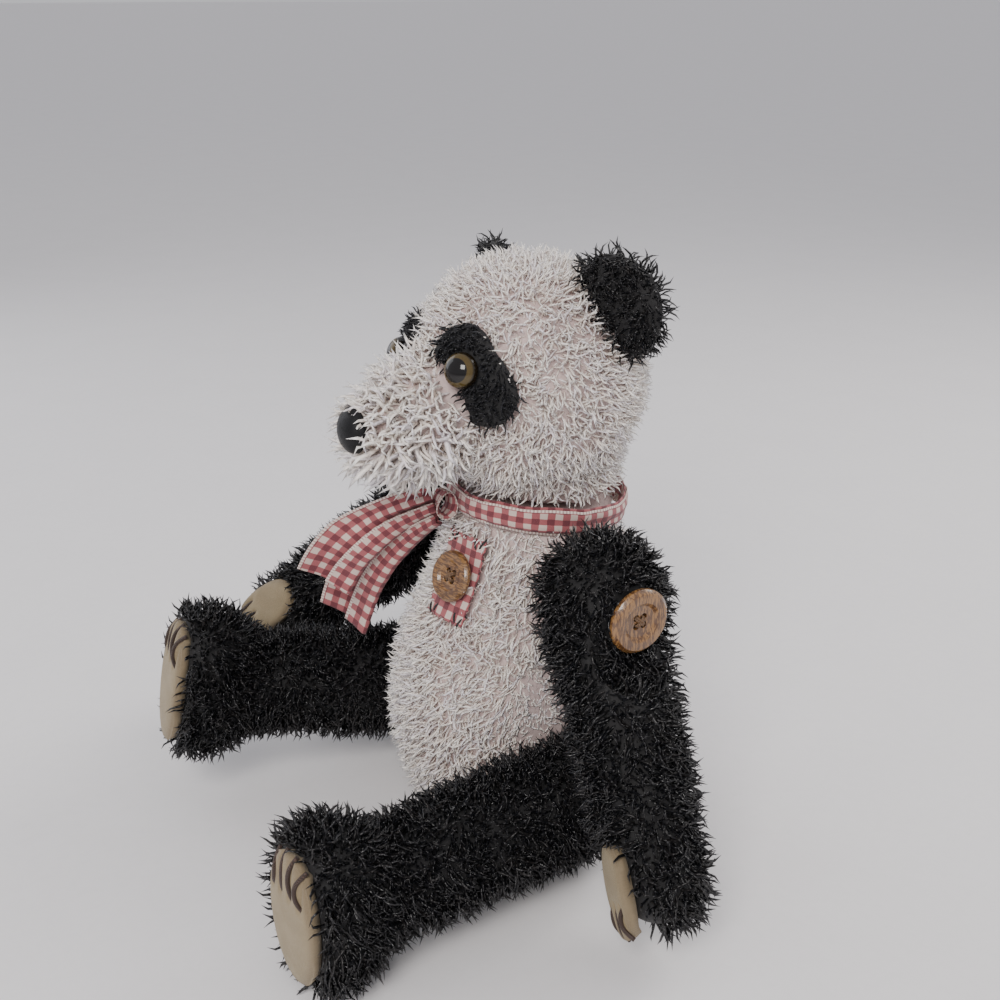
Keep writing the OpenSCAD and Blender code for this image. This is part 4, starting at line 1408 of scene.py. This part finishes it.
# A tail leaves the knot gathered, and is folded over along its lower side to a slanted end.
def makeTail(word):
    sizes = tailSizes[word]
    start = knotFrame.translation / mm
    place = Matrix.Translation((start.x * mm, start.y * mm, (start.z + sizes["up"]) * mm))
    place = place @ turn("Z", sizes["azimuth"] - 90)
    flat = ribbonSizes["width"] - sizes["turned"]

    def rule(u, v):
        share = v * ribbonSizes["width"] - sizes["turned"]
        level = abs(share) / flat * 2 - 1
        t = 0.06 + 0.94 * u
        x = 2 * t * (1 - t) * sizes["out"] * 0.7 + t * t * sizes["out"]
        z = -(2 * t * (1 - t) * sizes["drop"] * 0.25 + t * t * sizes["drop"])
        ahead = Vector((0.6 + 0.6 * (1 - t), -0.5 * sizes["drop"] / sizes["out"] - 1.5 * t)).normalized()
        half = tailSizes["gathered"] / 2 + (tailSizes["wide"] - tailSizes["gathered"]) / 2 * min(
            1, 1.6 * t)
        half *= 1 + 0.05 * math.sin(9 * t + level)
        cut = -level * sizes["slant"] / 2 * t ** 6
        gather = max(0.0, 1 - 1.6 * t)
        front = 1.5 - 1.6 * math.tanh(share * 0.8)
        pleat = 1.5 * gather * math.sin(level * 8.2 + 0.6)
        wave = 1.3 * math.sin(level * 2.6 + 5.0 * t) + 0.9 * math.sin(11.0 * t - level * 1.8)
        run = t * math.hypot(sizes["out"], sizes["drop"]) * 1.04
        return (x - ahead.y * level * half + ahead.x * cut, front + pleat + wave,
                z + ahead.x * level * half + ahead.y * cut, v * 38 - 19, run, 0)

    tail = ruledSheet(f"ribbon_tail_{word}_cloth", 90, 60, rule, tailSizes["thick"])
    tail.data.transform(place)
    return tail


for word in ("front", "back"):
    tail = makeTail(word)
    dress(tail, "torso", ribbonGingham, [f"ribbon_tail_{word}"])
print("ribbon done")


# ---- stuffing

# The seen filling is drawn in well below the skin, so none of it shows at an opening in a cover.
fillingSizes = {"voxel": 3, "drawnIn": 3.4, "fill": 0.8}

for word, body in (("torso", "torso"), ("head", "head"), ("arm_left", "arm_left"),
                   ("arm_right", "arm_right"), ("leg_left", "leg_left"),
                   ("leg_right", "leg_right")):
    node = f"{word.split('_')[0]}_stuffing" + ("_" + word.split("_")[1] if "_" in word else "")
    filling = copyNode(node, f"{word}_filling")
    addModifier(filling, "REMESH", mode="VOXEL", voxel_size=fillingSizes["voxel"] * mm)
    addModifier(filling, "DISPLACE", strength=-fillingSizes["drawnIn"] * mm, mid_level=0)
    addModifier(filling, "SMOOTH", factor=0.5, iterations=3)
    smooth(filling)
    dress(filling, body, stuffingFibre, [node])

innerParts = {
    "pellet_bag": pelletCloth, "limb_socket_discs": discPlastic, "neck_socket_disc": discPlastic,
    "face_washers": washerPlastic, "neck_disc": discPlastic, "neck_pin": pinSteel,
    "neck_lock_washer": pinSteel,
}
for word in ("left", "right"):
    for joint in ("shoulder", "hip"):
        innerParts[f"{joint}_disc_{word}"] = discPlastic
        innerParts[f"{joint}_pin_{word}"] = pinSteel
        innerParts[f"{joint}_lock_washer_{word}"] = pinSteel
for node, finish in innerParts.items():
    for holder in frame["nodes"][node].material_slots:
        holder.material = finish
for group in (longCurls, shortCurls):
    for curl in list(group.objects):
        bpy.data.objects.remove(curl)
    bpy.data.collections.remove(group)
print("inside done")


# ---- floor, lights and camera

studioSizes = {"floor": 60, "sky": (0.80, 0.80, 0.84, 1), "skyStrength": 0.78}
bpy.ops.object.select_all(action="DESELECT")
bpy.ops.mesh.primitive_plane_add(size=studioSizes["floor"], location=(0, 0, 0))
floor = bpy.context.object
floor.name = "floor"
floorFinish, net, out = newFinish("paleFloor", Specular_IOR_Level=0.2)
speckle = useGroup(net, fibreGrain, Where=net.place(), Scale=160.0, Base=(0.84, 0.82, 0.83),
                   Fleck=(0.79, 0.77, 0.78), Amount=0.3)
net.feed(out["Base Color"], speckle["Color"])
net.feed(out["Roughness"], speckle["Dull"])
floor.data.materials.append(floorFinish)

world = bpy.data.worlds.new("studio") if scene.world is None else scene.world
scene.world = world
world.use_nodes = True
world.node_tree.nodes["Background"].inputs[0].default_value = studioSizes["sky"]
world.node_tree.nodes["Background"].inputs[1].default_value = studioSizes["skyStrength"]

lamps = {
    "keyLamp": ((0.75, -0.75, 0.95), 0.5, 13.0, (1.0, 0.96, 0.92)),
    "fillLamp": ((-0.9, -0.5, 0.6), 0.8, 3.0, (0.93, 0.95, 1.0)),
    "rimLamp": ((0.1, 0.95, 0.9), 0.6, 7.0, (1.0, 0.97, 0.94)),
}
for name, (spot, size, power, colour) in lamps.items():
    light = bpy.data.lights.new(name, "AREA")
    light.size = size
    light.energy = power
    light.color = colour
    lamp = bpy.data.objects.new(name, light)
    scene.collection.objects.link(lamp)
    lamp.location = spot
    aim = Vector((0, -0.03, 0.12)) - Vector(spot)
    lamp.rotation_euler = aim.to_track_quat("-Z", "Y").to_euler()

view = {"spot": (0.4520, -0.2820, 0.3730), "yaw": 58.6, "pitch": 22.1, "lens": 45.72}
yaw = math.radians(view["yaw"])
pitch = math.radians(view["pitch"])
lookAlong = Vector((-math.sin(yaw) * math.cos(pitch), math.cos(yaw) * math.cos(pitch),
                    -math.sin(pitch)))
cameraData = bpy.data.cameras.new("camera")
cameraData.lens = view["lens"]
cameraData.sensor_width = 36
camera = bpy.data.objects.new("camera", cameraData)
scene.collection.objects.link(camera)
camera.location = view["spot"]
camera.rotation_euler = lookAlong.to_track_quat("-Z", "Y").to_euler()
scene.camera = camera
bpy.ops.object.select_all(action="DESELECT")

print("scene done")
